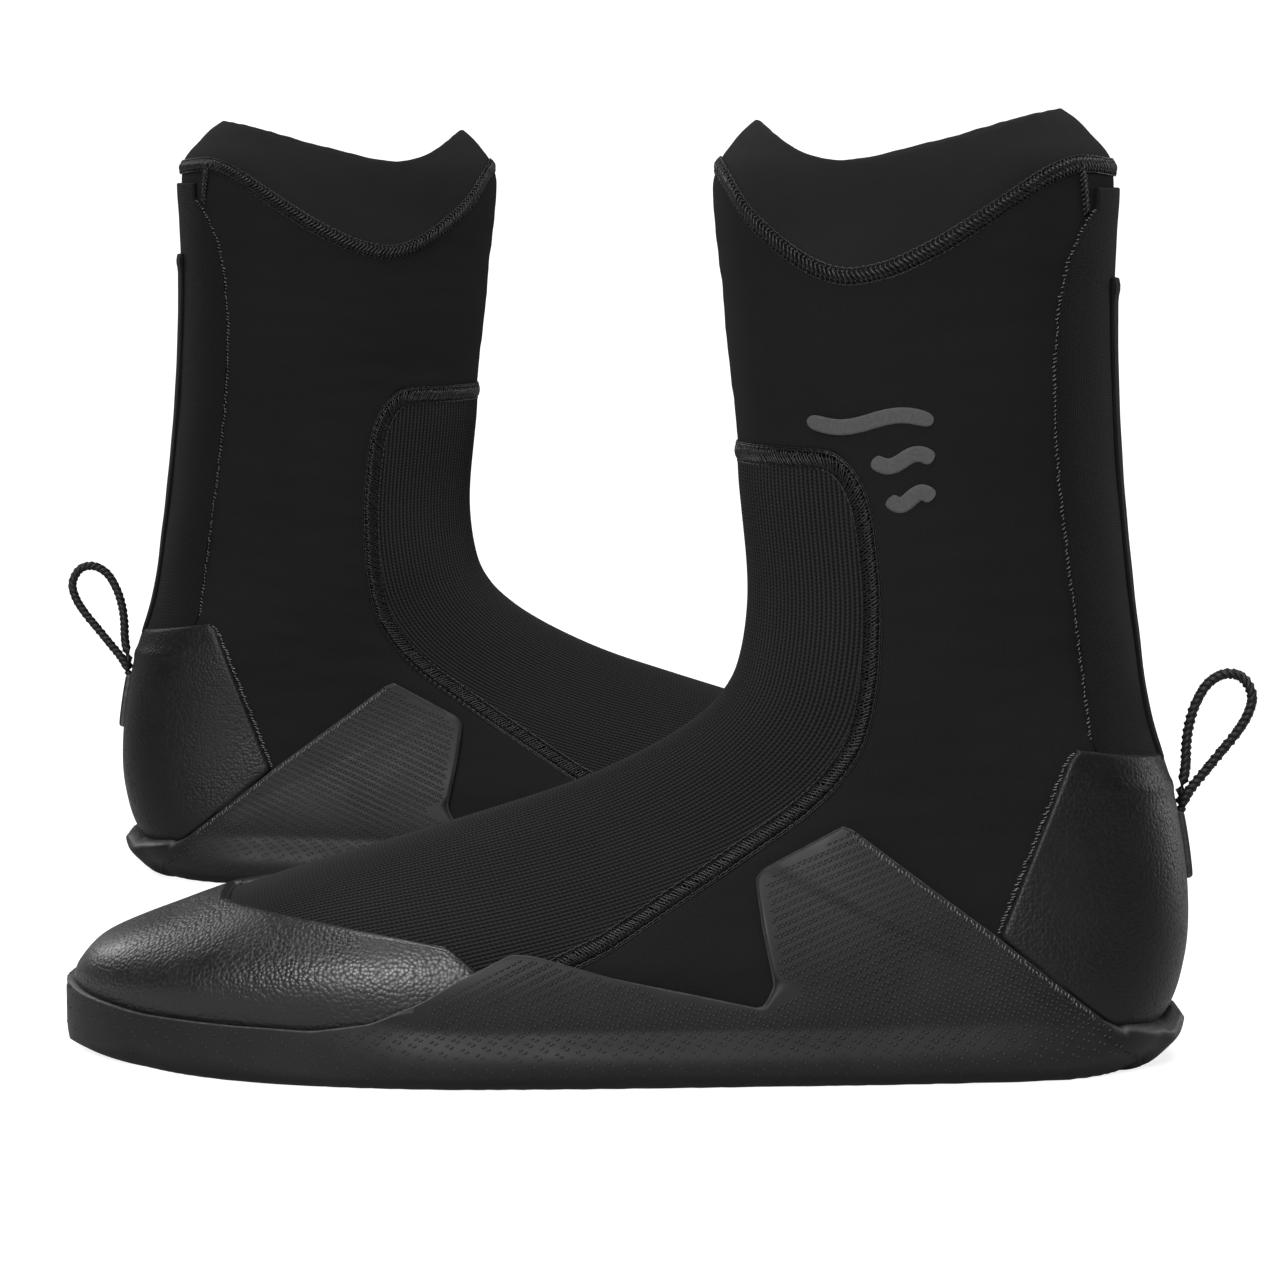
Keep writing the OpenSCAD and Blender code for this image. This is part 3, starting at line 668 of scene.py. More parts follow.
def knit(name):
    """Ribbed knit: the ribs are in the mesh, the stitches along them are in the nodes.

    The colour holds painted shade in the rib valleys and between the stitches, and a painted
    highlight on the rib tops.
    """
    n = Nodes(name, rough=0.88, Specular_IOR_Level=0.07, Sheen_Weight=0.010, Sheen_Roughness=0.55)
    u, w = n.axes(n.uv)[:2]
    rib = n.wave(u, RIB_PITCH, math.pi / 2)
    shift = n.times(n.wave(u, RIB_PITCH * 2), 0.45)
    stitch_height_and_painted_shade = n.wave(n.plus(w, shift), 0.95)
    specks = n.noise(n.scaled(n.uv, 2.5, 2.5), 1.0, 3, 0.6)
    patches = n.noise(n.scaled(n.uv, 0.03, 0.02), 1.0, 3)
    # Painted shade and highlight: darker in the rib valleys and between stitches, lighter on the
    # rib tops.
    tone = n.times(n.line(rib, 0.62, 0.3),
                  n.line(stitch_height_and_painted_shade, 0.42, 0.65))
    tone = n.times(tone, n.line(specks, 0.8, 0.6))
    tone = n.times(tone, n.line(patches, 0.4, 0.8))
    n.colour(n.ramp(tone, (0.14, 0.0006), (0.85, 0.0190)))
    height = n.line(stitch_height_and_painted_shade, 0.5, rib)
    return n.bump(n.line(specks, 0.4, height), 0.14, 0.9).mat


def grained(name, level, rough, gloss, size, depth):
    """Pebble-grained rubber, smoother and worn lighter along its edges."""
    n = Nodes(name, rough=rough, Specular_IOR_Level=gloss)
    pebbles = n.cells(n.object, 1000.0 / size, 0.8)
    height = n.rest(n.times(n.math("POWER", pebbles, 2.0), 1.6))
    patch = n.spread(n.noise(n.scaled(n.uv, 0.045, 0.03), 1.0, 2), 0.35, 0.65, 0.35, 1.0)
    rim = n.attribute("rim")
    worn = n.times(n.spread(rim, 0.75, 0.95),
                  n.spread(n.noise(n.scaled(n.uv, 0.9, 0.9), 1.0, 3), 0.3, 0.75))
    dust = n.noise(n.scaled(n.uv, 0.08, 0.08), 1.0, 5, 0.7)
    tone = n.plus(n.line(dust, level * 0.8, level * 0.6),
                  n.times(worn, 0.02))
    n.colour(n.ramp(tone, (0.0, 0.0), (0.2, 0.2)))
    n.roughness(n.plus(n.times(n.rest(height), 0.16),
                       n.spread(dust, 0.3, 0.7, rough - 0.05, rough + 0.07)))
    fade = n.times(patch, n.rest(n.times(rim, 0.7)))
    return n.bump(n.times(height, fade), depth, 1.0).mat


def moulded(name, level, rough):
    """Plain moulded rubber with a fine matt surface, dust and light scuffs on its edges."""
    n = Nodes(name, rough=rough, Specular_IOR_Level=0.20)
    fine = n.noise(n.object, 3200.0, 2, 0.6)
    dust = n.noise(n.object, 45.0, 5, 0.7)
    rim = n.attribute("rim")
    worn = n.times(n.spread(rim, 0.75, 0.95),
                  n.spread(n.noise(n.object, 900.0, 3), 0.3, 0.75, 0.3, 1.0))
    tone = n.plus(n.line(dust, level * 0.9, level * 0.55),
                  n.times(worn, 0.06))
    n.colour(n.ramp(tone, (0.0, 0.0), (0.2, 0.2)))
    n.roughness(n.spread(dust, 0.3, 0.7, rough - 0.06, rough + 0.08))
    return n.bump(fine, 0.03, 0.7).mat


def woven(name, level, pitch, depth=0.14):
    """Coarse plain weave with threads both ways."""
    n = Nodes(name, rough=0.75, Specular_IOR_Level=0.10, Sheen_Weight=0.01)
    u, w = n.axes(n.uv)[:2]
    warp, weft = n.wave(u, pitch), n.wave(w, pitch * 0.8)
    over = n.wave(n.plus(u, n.times(w, 1.25)), pitch * 2)
    height = n.plus(n.times(warp, over),
                    n.times(weft, n.rest(over)))
    specks = n.noise(n.uv, 1.6, 3, 0.6)
    tone = n.times(n.line(height, 0.8, 0.35),
                  n.line(specks, 0.9, 0.5))
    n.colour(n.ramp(tone, (0.1, level * 0.35), (1.0, level * 1.6)))
    return n.bump(n.line(specks, 0.2, height), depth, 0.9).mat


def thread(name, level, rough=0.38):
    """Twisted polyester: fine plies and a slight gloss."""
    n = Nodes(name, rough=rough, Specular_IOR_Level=0.25, Sheen_Weight=0.03, Sheen_Roughness=0.4)
    plies = n.noise(n.object, 2400.0, 2, 0.6)
    tufts = n.noise(n.object, 500.0, 3, 0.6)
    n.colour(n.ramp(n.times(plies, tufts), (0.1, level * 0.5), (0.45, level * 1.7)))
    return n.bump(plies, 0.08, 0.7).mat


def fleece(name, level):
    """Short plush pile."""
    n = Nodes(name, rough=1.0, Specular_IOR_Level=0.1, Sheen_Weight=0.35, Sheen_Roughness=0.6)
    tufts = n.cells(n.object, 700.0)
    fluff = n.noise(n.object, 1800.0, 4, 0.7)
    folds = n.noise(n.object, 30.0, 3)
    tone = n.times(n.line(fluff, 0.8, 0.5),
                  n.line(folds, 0.6, 0.6))
    n.colour(n.ramp(tone, (0.3, level * 0.6), (1.1, level * 1.4)))
    return n.bump(n.math("SUBTRACT", fluff, tufts), 0.5, 0.9).mat


def foam(name, level):
    """Closed-cell foam with a fine skin."""
    n = Nodes(name, rough=0.85, Specular_IOR_Level=0.3)
    pores = n.cells(n.object, 1500.0)
    cloud = n.noise(n.object, 60.0, 4)
    n.colour(n.ramp(cloud, (0.2, level * 0.7), (0.8, level * 1.3)))
    return n.bump(pores, 0.12, 0.8).mat


def ink(name, level):
    """Screen-printed ink that has sunk into the cloth."""
    n = Nodes(name, rough=0.7, Specular_IOR_Level=0.1)
    specks = n.noise(n.object, 1400.0, 3, 0.7)
    n.colour(n.ramp(specks, (0.25, level * 0.7), (0.7, level * 1.1)))
    return n.bump(specks, 0.04, 0.6).mat


RIB_PITCH = 1.3
JERSEY = jersey("neoprene_jersey", 0.0062, 0.58)
CUFF_JERSEY = jersey("cuff_jersey", 0.0092, 0.45, 0.06)
KNIT_PAINTED_RIB_SHADE = knit("ribbed_knit_painted_rib_shade")
TOE_RUBBER = grained("grained_rubber_toe", 0.004, 0.34, 0.48, 1.05, 0.15)
HEEL_RUBBER = grained("grained_rubber_heel", 0.003, 0.40, 0.26, 1.0, 0.11)
SOLE_RUBBER = moulded("moulded_rubber", 0.009, 0.5)
# The outsole's bumps: the same rubber as the sole, made lighter as a painted highlight.
LENS_RUBBER_PAINTED_HIGHLIGHT = moulded("raised_texture_rubber_painted_highlight", 0.020, 0.38)
WOVEN = woven("woven_nylon", 0.0030, 0.62)
TAPE = woven("woven_tape", 0.0030, 0.42, 0.08)
THREAD = thread("overlock_thread", 0.0045)
GLUE_THREAD = thread("edge_stitch_thread", 0.11, 0.5)
CORD = thread("twisted_cord", 0.008, 0.5)
FLEECE = fleece("plush_lining", 0.02)
FOAM = foam("insole_foam", 0.02)
INK = ink("printed_ink", 0.060)

# ---------------------------------------------------------------- pull loops


def pull_loops():
    """Cords of twisted strands, whose two ends lie under the tab."""
    route = catmull(np.array(LOOP_ROUTE, float), np.linspace(0, len(LOOP_ROUTE) - 1, 90))
    route = np.concatenate([LOOP_START, route, LOOP_END])
    middle = np.stack([route[:, 0], np.zeros(len(route)), route[:, 1]], -1)
    s = lengths(middle)
    ahead = unit(np.gradient(middle, axis=0))
    beside = np.broadcast_to([0.0, 1.0, 0.0], ahead.shape)
    inward = np.cross(ahead, beside)
    parts = []
    for k in range(STRANDS):
        a = 2 * np.pi * (s / STRAND_PITCH + k / STRANDS)
        out = np.cos(a)[:, None] * beside + np.sin(a)[:, None] * inward
        parts.append(tubes((middle + STRAND_WINDING * out)[None], out[None], STRAND_R, 10))
    made = build("pull_loop", *join(parts), CORD, body="loop", stands_for="pull_loop")
    for side, loop in zip(SIDES, made):
        line = place(middle, side)
        tuple(line[0])


# ---------------------------------------------------------------- neoprene panels


def mirrored(half_v):
    """Columns from the medial to the lateral side, from columns of one side."""
    return np.concatenate([-half_v[:, :0:-1], half_v], 1)


def shaft_panel():
    knit_cols, back_cols = 22, 62
    knit_v = KNIT_V[0, 1] + SEAM_V
    s_knit = np.linspace(0, 1, knit_cols + 1)
    s_back = spread(back_cols, 85)
    half = np.concatenate([knit_v * s_knit[:-1], knit_v + (1 - SEAM_V - knit_v) * s_back])
    bridge = spread(34, 60)
    legs = np.linspace(0, 1, 150)[1:]
    top = lookup(half, CUFF_T)
    t_bridge = top[None] + (KNIT_TOP - 0.03 - top[None]) * bridge[:, None]
    v_bridge = np.repeat(half[None], len(bridge), 0)
    t_leg = KNIT_TOP + (LEG_END - KNIT_TOP) * legs
    near = lookup(t_leg, KNIT_V) + SEAM_V
    far = np.maximum(panel_v(t_leg) - SEAM_V, near + 0.01)
    leg_v = near[:, None] + (far - near)[:, None] * s_back[None]
    v_leg = np.concatenate([wide(near, knit_cols), leg_v], 1)
    t = np.concatenate([t_bridge, wide(t_leg, len(half))])
    v = mirrored(np.concatenate([v_bridge, v_leg]))
    t = np.concatenate([t[:, :0:-1], t], 1)
    keep = np.ones((t.shape[0] - 1, t.shape[1] - 1), bool)
    mid = t.shape[1] // 2
    keep[len(bridge) - 1:, mid - knit_cols:mid + knit_cols] = False

    def relief(p, across, along, far):
        soft = np.clip(far / 6, 0, 1)
        fold = 0.35 * waves(p, 3, 55) + 0.10 * waves(p * [1, 1, 2.2], 4, 18)
        return soft * fold - 0.25 * np.exp(-(far / 2.2) ** 2)

    # The cloth's lines run straight down past the knit, so its width there counts.
    front = skin(wide(t_leg, 60), near[:, None] * np.linspace(0, 1, 60))
    front = np.linalg.norm(np.diff(front, axis=1), axis=-1).sum(1)
    start = np.concatenate([np.zeros(len(bridge)), front])
    slab("shaft_panel", t, v, -NEOPRENE, 0.0, JERSEY, keep=keep, relief=relief, edge=1.6,
         start=start)


def instep_panel():
    """The columns lie at fixed distances from the middle, so that the ribs run true.

    The inside has fewer columns than the outside, one every stride.
    """
    per_rib, stride = 4, 8
    t = np.concatenate([KNIT_TOP + np.array([0, 0.01, 0.03, 0.06]),
                        np.linspace(KNIT_TOP + 0.1, LEG_END, 105),
                        np.linspace(LEG_END, TIP, 32)[1:]])
    reach = np.where(t <= LEG_END, lookup(t, KNIT_V), lookup(t, FEATHER_V)) - SEAM_V
    sample = np.linspace(0, 1, 160)
    arcs, tables = [], []
    for side in (-1, 1):
        v = side * reach[:, None] * sample[None]
        p = skin(wide(t, len(sample)), v)
        s = np.concatenate([np.zeros((len(t), 1)),
                            np.cumsum(np.linalg.norm(np.diff(p, axis=1), axis=-1), 1)], 1)
        arcs.append(s)
        tables.append(v)
    widest = max(a[:, -1].max() for a in arcs)
    half = int(math.ceil(widest / RIB_PITCH * per_rib / stride)) * stride
    u = np.arange(1, half + 1) * RIB_PITCH / per_rib
    reaches = [np.minimum(u[None], s[:, -1:]) for s in arcs]
    columns = [np.array([np.interp(*row) for row in zip(*three)])
               for three in zip(reaches, arcs, tables)]
    middle = np.zeros((len(t), 1))
    grid = np.concatenate([columns[0][:, ::-1], middle, columns[1]], 1)
    place_u = np.concatenate([-reaches[0][:, ::-1], middle, reaches[1]], 1)
    tt = wide(t, grid.shape[1])
    base, up = skin(tt, grid), outward(tt, grid)
    along = wide(lengths(base[:, grid.shape[1] // 2]), grid.shape[1])
    limit = np.where(place_u < 0, arcs[0][:, -1:], arcs[1][:, -1:])
    far = np.minimum(limit - np.abs(place_u), along)
    soft = np.clip(far / 1.6, 0, 1)
    rib = np.cos(2 * np.pi * place_u / RIB_PITCH)
    visible = 1 - smooth((np.abs(grid) - 0.6) / 0.1)
    height = (-NEOPRENE + NEOPRENE * (0.3 + 0.7 * np.sqrt(1 - (1 - soft) ** 2))
              + 0.16 * rib * soft * visible + np.clip(far / 8, 0, 1) * 0.35 * waves(base, 7, 60))
    outer, inner = base + height[..., None] * up, base - NEOPRENE * up
    rows, cols = tt.shape
    a = np.arange(rows * cols).reshape(rows, cols)
    quads = np.stack([a[:-1, :-1], a[1:, :-1], a[1:, 1:], a[:-1, 1:]], -1).reshape(-1, 4)
    few = np.arange(0, cols, stride)
    b = rows * cols + np.arange(rows * len(few)).reshape(rows, len(few))
    under = np.stack([b[:-1, :-1], b[:-1, 1:], b[1:, 1:], b[1:, :-1]], -1).reshape(-1, 4)
    ends = np.stack([a[:-1, 0], b[:-1, 0], b[1:, 0], a[1:, 0]], -1)
    other = np.stack([a[1:, -1], b[1:, -1], b[:-1, -1], a[:-1, -1]], -1)
    first = np.array([[*a[0, k:k + stride + 1], b[0, n + 1], b[0, n]]
                      for n, k in enumerate(few[:-1])])
    last = np.array([[*a[-1, k:k + stride + 1][::-1], b[-1, n], b[-1, n + 1]]
                     for n, k in enumerate(few[:-1])])
    points = np.concatenate([outer.reshape(-1, 3), inner[:, few].reshape(-1, 3)])
    uv = np.stack([place_u, along], -1)
    uv = np.concatenate([uv.reshape(-1, 2), uv[:, few].reshape(-1, 2)])
    made = build("instep_panel", points, [quads, under, ends, other, first, last], KNIT_PAINTED_RIB_SHADE, uv=uv,
                 stands_for="instep_panel")
    for piece in made:
        work = bmesh.new()
        work.from_mesh(piece.data)
        bmesh.ops.remove_doubles(work, verts=work.verts, dist=0.00001)
        work.to_mesh(piece.data)
        work.free()


def cuff():
    cols = 260
    v = around(np.linspace(-1, 1, cols, endpoint=False) + 0.0001)
    rows = spread(22, 15)
    top, bottom = lookup(np.abs(v), RIM_T), lookup(np.abs(v), CUFF_T) + 0.02
    t = top[None] + (bottom - top)[None] * rows[:, None]
    vv = np.repeat(v[None], len(rows), 0)

    def relief(p, across, along, far):
        soft = np.clip(far / 5, 0, 1)
        cut = 0.07 * waves(p, 11, 3.2, 20) * np.exp(-(along / 1.2) ** 2)
        return soft * (0.3 * waves(p, 12, 32)) + cut

    def shape(p):
        tip = np.clip((p[..., 2] - 226) / 10, 0, 1)
        p = p.copy()
        p[..., 2] += 0.10 * waves(p * [1, 1, 0], 13, 7, 16) * tip
        return p

    slab("cuff", t, vv, -CUFF_WALL, 0.0, CUFF_JERSEY, ring=True, relief=relief, edge=1.1,
         shape=shape)


def bottom_panel():
    t, v = back_patch(BOTTOM_START, TIP, FEATHER_V, 60, 30, 270, 90, SEAM_V)
    slab("bottom_panel", t, v, -NEOPRENE, 0.0, JERSEY)


def lining():
    rows, cols = 120, 150
    t = np.linspace(LINING_TOP, LINING_END, rows)
    v = around(np.linspace(-1, 1, cols, endpoint=False) + 0.0001)
    tt, vv = wide(t, cols), np.repeat(v[None], rows, 0)
    high, wall = -NEOPRENE - 0.3, 1.1
    base, up = skin(tt, vv), outward(tt, vv)
    pile = 0.18 * waves(base, 21, 5, 24) + 0.25 * waves(base, 22, 26)
    hem = np.clip((tt - LINING_TOP) / 0.12, 0, 1)
    depth = (wall - pile) * (0.35 + 0.65 * np.sqrt(1 - (1 - hem) ** 2))
    top, under = base + high * up, base + (high - depth)[..., None] * up
    n = rows * cols
    a = np.arange(n).reshape(rows, cols)
    b = np.roll(a, -1, 1)
    outer = np.stack([a[:-1], a[1:], b[1:], b[:-1]], -1).reshape(-1, 4)
    inner = np.stack([a[:-1], b[:-1], b[1:], a[1:]], -1).reshape(-1, 4) + n
    mouth = np.stack([a[0], b[0], b[0] + n, a[0] + n], -1)
    caps = [a[-1][None], a[-1][None, ::-1] + n]
    points = np.concatenate([top.reshape(-1, 3), under.reshape(-1, 3)])
    build("lining", points, [outer, inner, mouth, *caps], FLEECE, stands_for="lining")


def insole():
    edge = FEATHER_V + [0, 0.05]
    t, v = back_patch(INSOLE_START, INSOLE_END, edge, 90, 40, 240, 70)
    top = -NEOPRENE - 1.6

    def relief(p, across, along, far):
        holes = 0.35 * np.cos(p[..., 0] * 2 * np.pi / 7) * np.cos(p[..., 1] * 2 * np.pi / 7)
        heel = 0.6 * np.exp(-(((p[..., 0] - 45) / 22) ** 2 + (p[..., 1] / 16) ** 2))
        return -np.clip(far / 4, 0, 1) * (heel + np.clip(holes, 0.1, 1))

    for piece in slab("insole", t, v, top - 3, top, FOAM, relief=relief, edge=1.5):
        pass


# ---------------------------------------------------------------- rubber


def over_cup(t, v):
    """1 where the outsole lies over the heel cup, 0 where it lies on the neoprene."""
    return smooth((np.abs(v) - CUP_V) / 0.03) * smooth((12.9 - t) / 0.5)


def wing_rear(t):
    return np.minimum(lookup(t, WING_V), WING_LIMIT)


def outsole_grid():
    wing_cols, lip_cols = 40, 12
    side_cols = wing_cols + 1 + lip_cols
    rows_t = np.concatenate([
        WING_TOP + (LIP_TOP - WING_TOP) * np.linspace(0, 1, 26),
        LIP_TOP + (HEEL_END - LIP_TOP) * np.linspace(0, 1, 22)[1:],
        HEEL_END + (NOSE_TIP - HEEL_END) * np.linspace(0, 1, 190)[1:]])
    wing_rows, heel_rows = 25, 41
    top, rear = lookup(rows_t, SOLE_V), wing_rear(rows_t)
    lip = LIP_V + (rear + 0.02 - LIP_V) * smooth((rows_t - LIP_TOP) / (HEEL_END - LIP_TOP))
    s_wing = spread(wing_cols - 9, 40)
    wing = top[:, None] + (rear - top)[:, None] * s_wing[None]
    s_lip = np.concatenate([[0, 0.02, 0.06, 0.12], np.linspace(0.2, 1, lip_cols - 3)])
    back = lip[:, None] + (1 - lip)[:, None] * s_lip[None]
    near = np.concatenate([wing, back], 1)
    j = np.linspace(0, 1, side_cols - 4)
    j = np.concatenate([[0, 0.004, 0.010, 0.016], j[1:] * 0.98 + 0.02])
    j = np.interp(np.linspace(0, 1, near.shape[1]), np.linspace(0, 1, len(j)), j)
    even = top[:, None] + (1 - top)[:, None] * j[None]
    k = smooth((rows_t - HEEL_END) / 2)[:, None]
    half = near * (1 - k) + even * k
    v = np.concatenate([half, -half[:, -2::-1]], 1)
    t = wide(rows_t, v.shape[1])
    cells = v.shape[1] - 1
    index = np.arange(cells)
    inner = np.minimum(index, cells - 1 - index)
    keep = np.ones((len(rows_t) - 1, cells), bool)
    split = wing.shape[1] - 1
    keep[:heel_rows, inner == split] = False
    keep[:wing_rows, inner > split] = False
    return t, v, keep


def wall_side(t):
    return 2.4 + 1.0 * smooth((t - 16.5) / 3) - 0.6 * smooth((12.5 - t) / 0.4)


def upright(points, t, v):
    """Keeps the outsole's wall upright round the toe, below its top edge."""
    base, way = skin(t, v), unit(outward(t, v)[..., :2])
    edge = skin(t, np.sign(v) * lookup(t, SOLE_V))
    retreat = ((edge - base)[..., :2] * way).sum(-1)
    reach = ((points - base)[..., :2] * way).sum(-1)
    extra = np.maximum(reach - (wall_side(t) + 0.75 + np.maximum(retreat, 0)), 0)
    points, toe = points.copy(), smooth((t - 15.5) / 3)
    points[..., :2] -= (extra * toe)[..., None] * way
    level = smooth((edge - base)[..., 2] / 4)
    points[..., 2] += toe * (1 - level) * ((base - points)[..., 2] + 0.5)
    return points


def sole_wall(t, v):
    """Height of the outsole's outer surface above the neoprene."""
    under = smooth((-outward(t, v)[..., 2] - 0.1) / 0.6)
    side = wall_side(t)
    tread = 7 + 1.2 * smooth((t - 17) / 4) - 2.4 * smooth((13.2 - t) / 0.8)
    return 0.6 + 1.8 * over_cup(t, v) + side + tread * under


def outsole():
    t, v, keep = outsole_grid()

    def relief(p, across, along, far):
        return 0.03 * np.clip(far / 3, 0, 1) * waves(p, 31, 24)

    def ground(p):
        p = p.copy()
        z, x, y = p[..., 2], p[..., 0], p[..., 1]
        under = z < 0
        groove = 1.3 * smooth((np.cos((x + 5 * np.sin(y / 9)) * 2 * np.pi / 11) - 0.72) / 0.2)
        inside = smooth((-z - 0.35) / 0.8)
        p[..., 2] = np.where(under, groove * inside, z)
        return p

    slab("outsole", t, v, GLUE + 2.0 * over_cup(t, v), sole_wall(t, v), SOLE_RUBBER, keep=keep,
         relief=relief, lip=0.7 + 0.3 * smooth((t - 14) / 2.5), shape=ground, face=upright)


def outsole_texture():
    """Rows of small slanted lens-shaped bumps on the side of the outsole, in a lighter copy of
    the sole rubber whose lighter colour is a painted highlight.
    """
    along, between, tilt, lowest = 1.62, 0.98, math.radians(24), 3.5
    a, b = np.meshgrid(np.arange(-40, 260), np.arange(-140, 160), indexing="ij")
    x = a * along * math.cos(tilt) + b * between * math.sin(tilt) + (b % 2) * along * 0.5
    z = -a * along * math.sin(tilt) + b * between * math.cos(tilt) + 40
    x, z = x.ravel(), z.ravel()
    inside = (x > 8) & (x < 286) & (z > 5) & (z < 66)
    t, v = locate(np.stack([x[inside], z[inside]], -1)).T

    def within(t, v):
        return (v > lookup(t, SOLE_V)) & ((t > HEEL_END) | (v < wing_rear(t)))

    shown = within(t, v) & (t > WING_TOP + 0.02) & (v < TEXTURE_END)
    found = []
    for side in (1, -1):
        tt, vv = t[shown], side * v[shown]
        p, pt, pv = (upright(raised(a, b, sole_wall(a, b)), a, b)
                     for a, b in ((tt, vv), (tt + 0.02, vv), (tt, vv + 0.004)))
        up = unit(np.cross(pt - p, pv - p))
        up *= np.sign((up * outward(tt, vv)).sum(-1))[:, None]
        ok = p[:, 2] > lowest
        for dt, dv in ((0.02, 0), (-0.02, 0), (0, 0.012), (0, -0.012)):
            ok &= within(tt + dt, np.abs(vv) + dv)
        toe = smooth((tt - 16.8) / 2)
        size = smooth((p[:, 2] - lowest) / (9 - 3 * toe)) * (1 - 0.35 * toe)
        found.append((p[ok], up[ok], size[ok]))
    p, up, size = (np.concatenate(x) for x in zip(*found))
    ahead = np.array([math.cos(tilt), 0, -math.sin(tilt)])
    right = unit(ahead - (up @ ahead)[:, None] * up)
    other = np.cross(up, right)
    ring = np.arange(8) * np.pi / 4
    long_r = 0.86 * (0.55 + 0.45 * size)
    wide_r = 0.40 * (0.8 + 0.2 * size)
    base = (p[:, None] + (np.cos(ring)[None, :, None] * right[:, None] * long_r[:, None, None])
            + (np.sin(ring)[None, :, None] * other[:, None] * wide_r[:, None, None])
            - 0.15 * up[:, None])
    apex = p + (0.16 + 0.30 * size)[:, None] * up + 0.22 * right
    points = np.concatenate([base, apex[:, None]], 1).reshape(-1, 3)
    first = np.arange(len(p)) * 9
    sides = np.concatenate([np.stack([first + k, first + (k + 1) % 8, first + 8], -1)
                            for k in range(8)])
    lids = np.stack([first + k for k in range(7, -1, -1)], -1)
    build("outsole_texture", points, [sides, lids], LENS_RUBBER_PAINTED_HIGHLIGHT, slot="outsole")


def toe_cap():
    wing_cols, nose_half = 22, 30
    start = CAP_V[0, 0] + 0.1
    rows_t = np.concatenate([start + (CAP_BRIDGE - start) * np.linspace(0, 1, 50),
                             CAP_BRIDGE + (NOSE_TIP - CAP_BRIDGE) * np.linspace(0, 1, 80)[1:]])
    wing_rows = 49
    low = lookup(rows_t, SOLE_V) - SEAM_V + 0.03
    edge = np.minimum(lookup(rows_t, CAP_V), low - 0.01)
    top = edge + (low / 2 - edge) * smooth((rows_t - CAP_BRIDGE) / 2)
    s_wing = spread(wing_cols, 25)
    inner = top[:, None] * np.linspace(0, 1, nose_half + 1)[None]
    outer = top[:, None] + (low - top)[:, None] * s_wing[None, 1:]
    v = mirrored(np.concatenate([inner, outer], 1))
    t = wide(rows_t, v.shape[1])
    keep = np.ones((len(rows_t) - 1, v.shape[1] - 1), bool)
    mid = v.shape[1] // 2
    keep[:wing_rows, mid - nose_half:mid + nose_half] = False

    def relief(p, across, along, far):
        return 0.12 * np.clip(far / 5, 0, 1) * waves(p, 41, 30)

    slab("toe_cap", t, v, GLUE, CAP_TOP, TOE_RUBBER, keep=keep, relief=relief, edge=1.2)


def heel_cup():
    below = WING_V[WING_V[:, 0] > HEEL_V[-1, 0] + 0.05] + [0, 0.005]
    edge = np.concatenate([HEEL_V, below])
    t, v = back_patch(HEEL_START, HEEL_END - 0.1, edge, 70, 80, 80, 90)

    def relief(p, across, along, far):
        line = 0.45 * np.exp(-((along - 9) / 1.6) ** 2) * smooth((40 - np.abs(across)) / 6)
        return 0.15 * np.clip(far / 5, 0, 1) * waves(p, 51, 35) + line * np.clip(far / 3, 0, 1)

    slab("heel_cup", t, v, GLUE, HEEL_TOP, HEEL_RUBBER, relief=relief, edge=1.2)


def loop_tab():
    t, v = back_patch(TAB_START, TAB_END, TAB_V, 16, 12, 17, 8)
    slab("loop_tab", t, v, HEEL_TOP - 0.1, TAB_TOP, SOLE_RUBBER, edge=1.0)


# ---------------------------------------------------------------- cloth trim


def achilles_panel():
    t, v = back_patch(BACK_TOP, HEEL_START + 0.12, ACHILLES_V, 80, 44, 140, 55)

    def relief(p, across, along, far):
        return 0.08 * waves(p, 61, 26) * np.clip(far / 4, 0, 1)

    slab("achilles_panel", t, v, GLUE, WOVEN_TOP, WOVEN, relief=relief, edge=0.5, lip=0.6)


def back_seam_tape():
    t, v = back_patch(TAPE_TOP, HEEL_START + 0.10, TAPE_V, 70, 26, 120, 22)

    def relief(p, across, along, far):
        knot = 0.5 * np.exp(-((along - 2.5) / 2.0) ** 2)
        return knot + 0.08 * waves(p, 71, 15) * np.clip(far / 3, 0, 1)

    slab("back_seam_tape", t, v, WOVEN_TOP - 0.1, TAPE_FACE, TAPE, relief=relief, edge=0.5,
         lip=0.6)


def side_print():
    """A plain mark of three printed waves, one above the other."""
    pitch, bottom, left, swing, width = 9.6, 147.4, 68, 1.6, 4.0
    parts = []
    s = np.linspace(0, 1, 80)
    taper = np.sqrt(np.clip(1 - (np.abs(2 * s - 1)) ** 14, 0.02, 1))
    x = np.linspace(-1, 1, 9) * width / 2
    xx = x[None] * taper[:, None]
    height = np.full(xx.shape, 0.50) - 0.08 * (np.abs(x) > 0.95 * width / 2)[None]
    for k, length in enumerate((11, 15, 31)):
        z = bottom + pitch * k + swing * np.sin(2 * np.pi * s)
        route = Route(locate(np.stack([left + length * s, z], -1)))
        ss = wide(s * route.length, len(x))
        top, _ = route.at(ss, xx, height)
        low, _ = route.at(ss, xx, np.full(ss.shape, -0.5))
        a = np.arange(ss.size).reshape(ss.shape)
        total = a.size
        faces = [np.stack([a[:-1, :-1], a[:-1, 1:], a[1:, 1:], a[1:, :-1]], -1).reshape(-1, 4)]
        faces.append(faces[0][:, ::-1] + total)
        for p, q in ((a[:-1, 0], a[1:, 0]), (a[1:, -1], a[:-1, -1]),
                     (a[0, 1:], a[0, :-1]), (a[-1, :-1], a[-1, 1:])):
            faces.append(np.stack([p, q, q + total, p + total], -1))
        parts.append((np.concatenate([top.reshape(-1, 3), low.reshape(-1, 3)]), faces))
    build("side_print", *join(parts), INK, stands_for="side_print", sides=("left",))


# ---------------------------------------------------------------- stitching


def both_sides(half):
    """A route over the front from the medial to the lateral side, from its lateral half."""
    half = np.asarray(half)
    return np.concatenate([(half * [1, -1])[:0:-1], half])


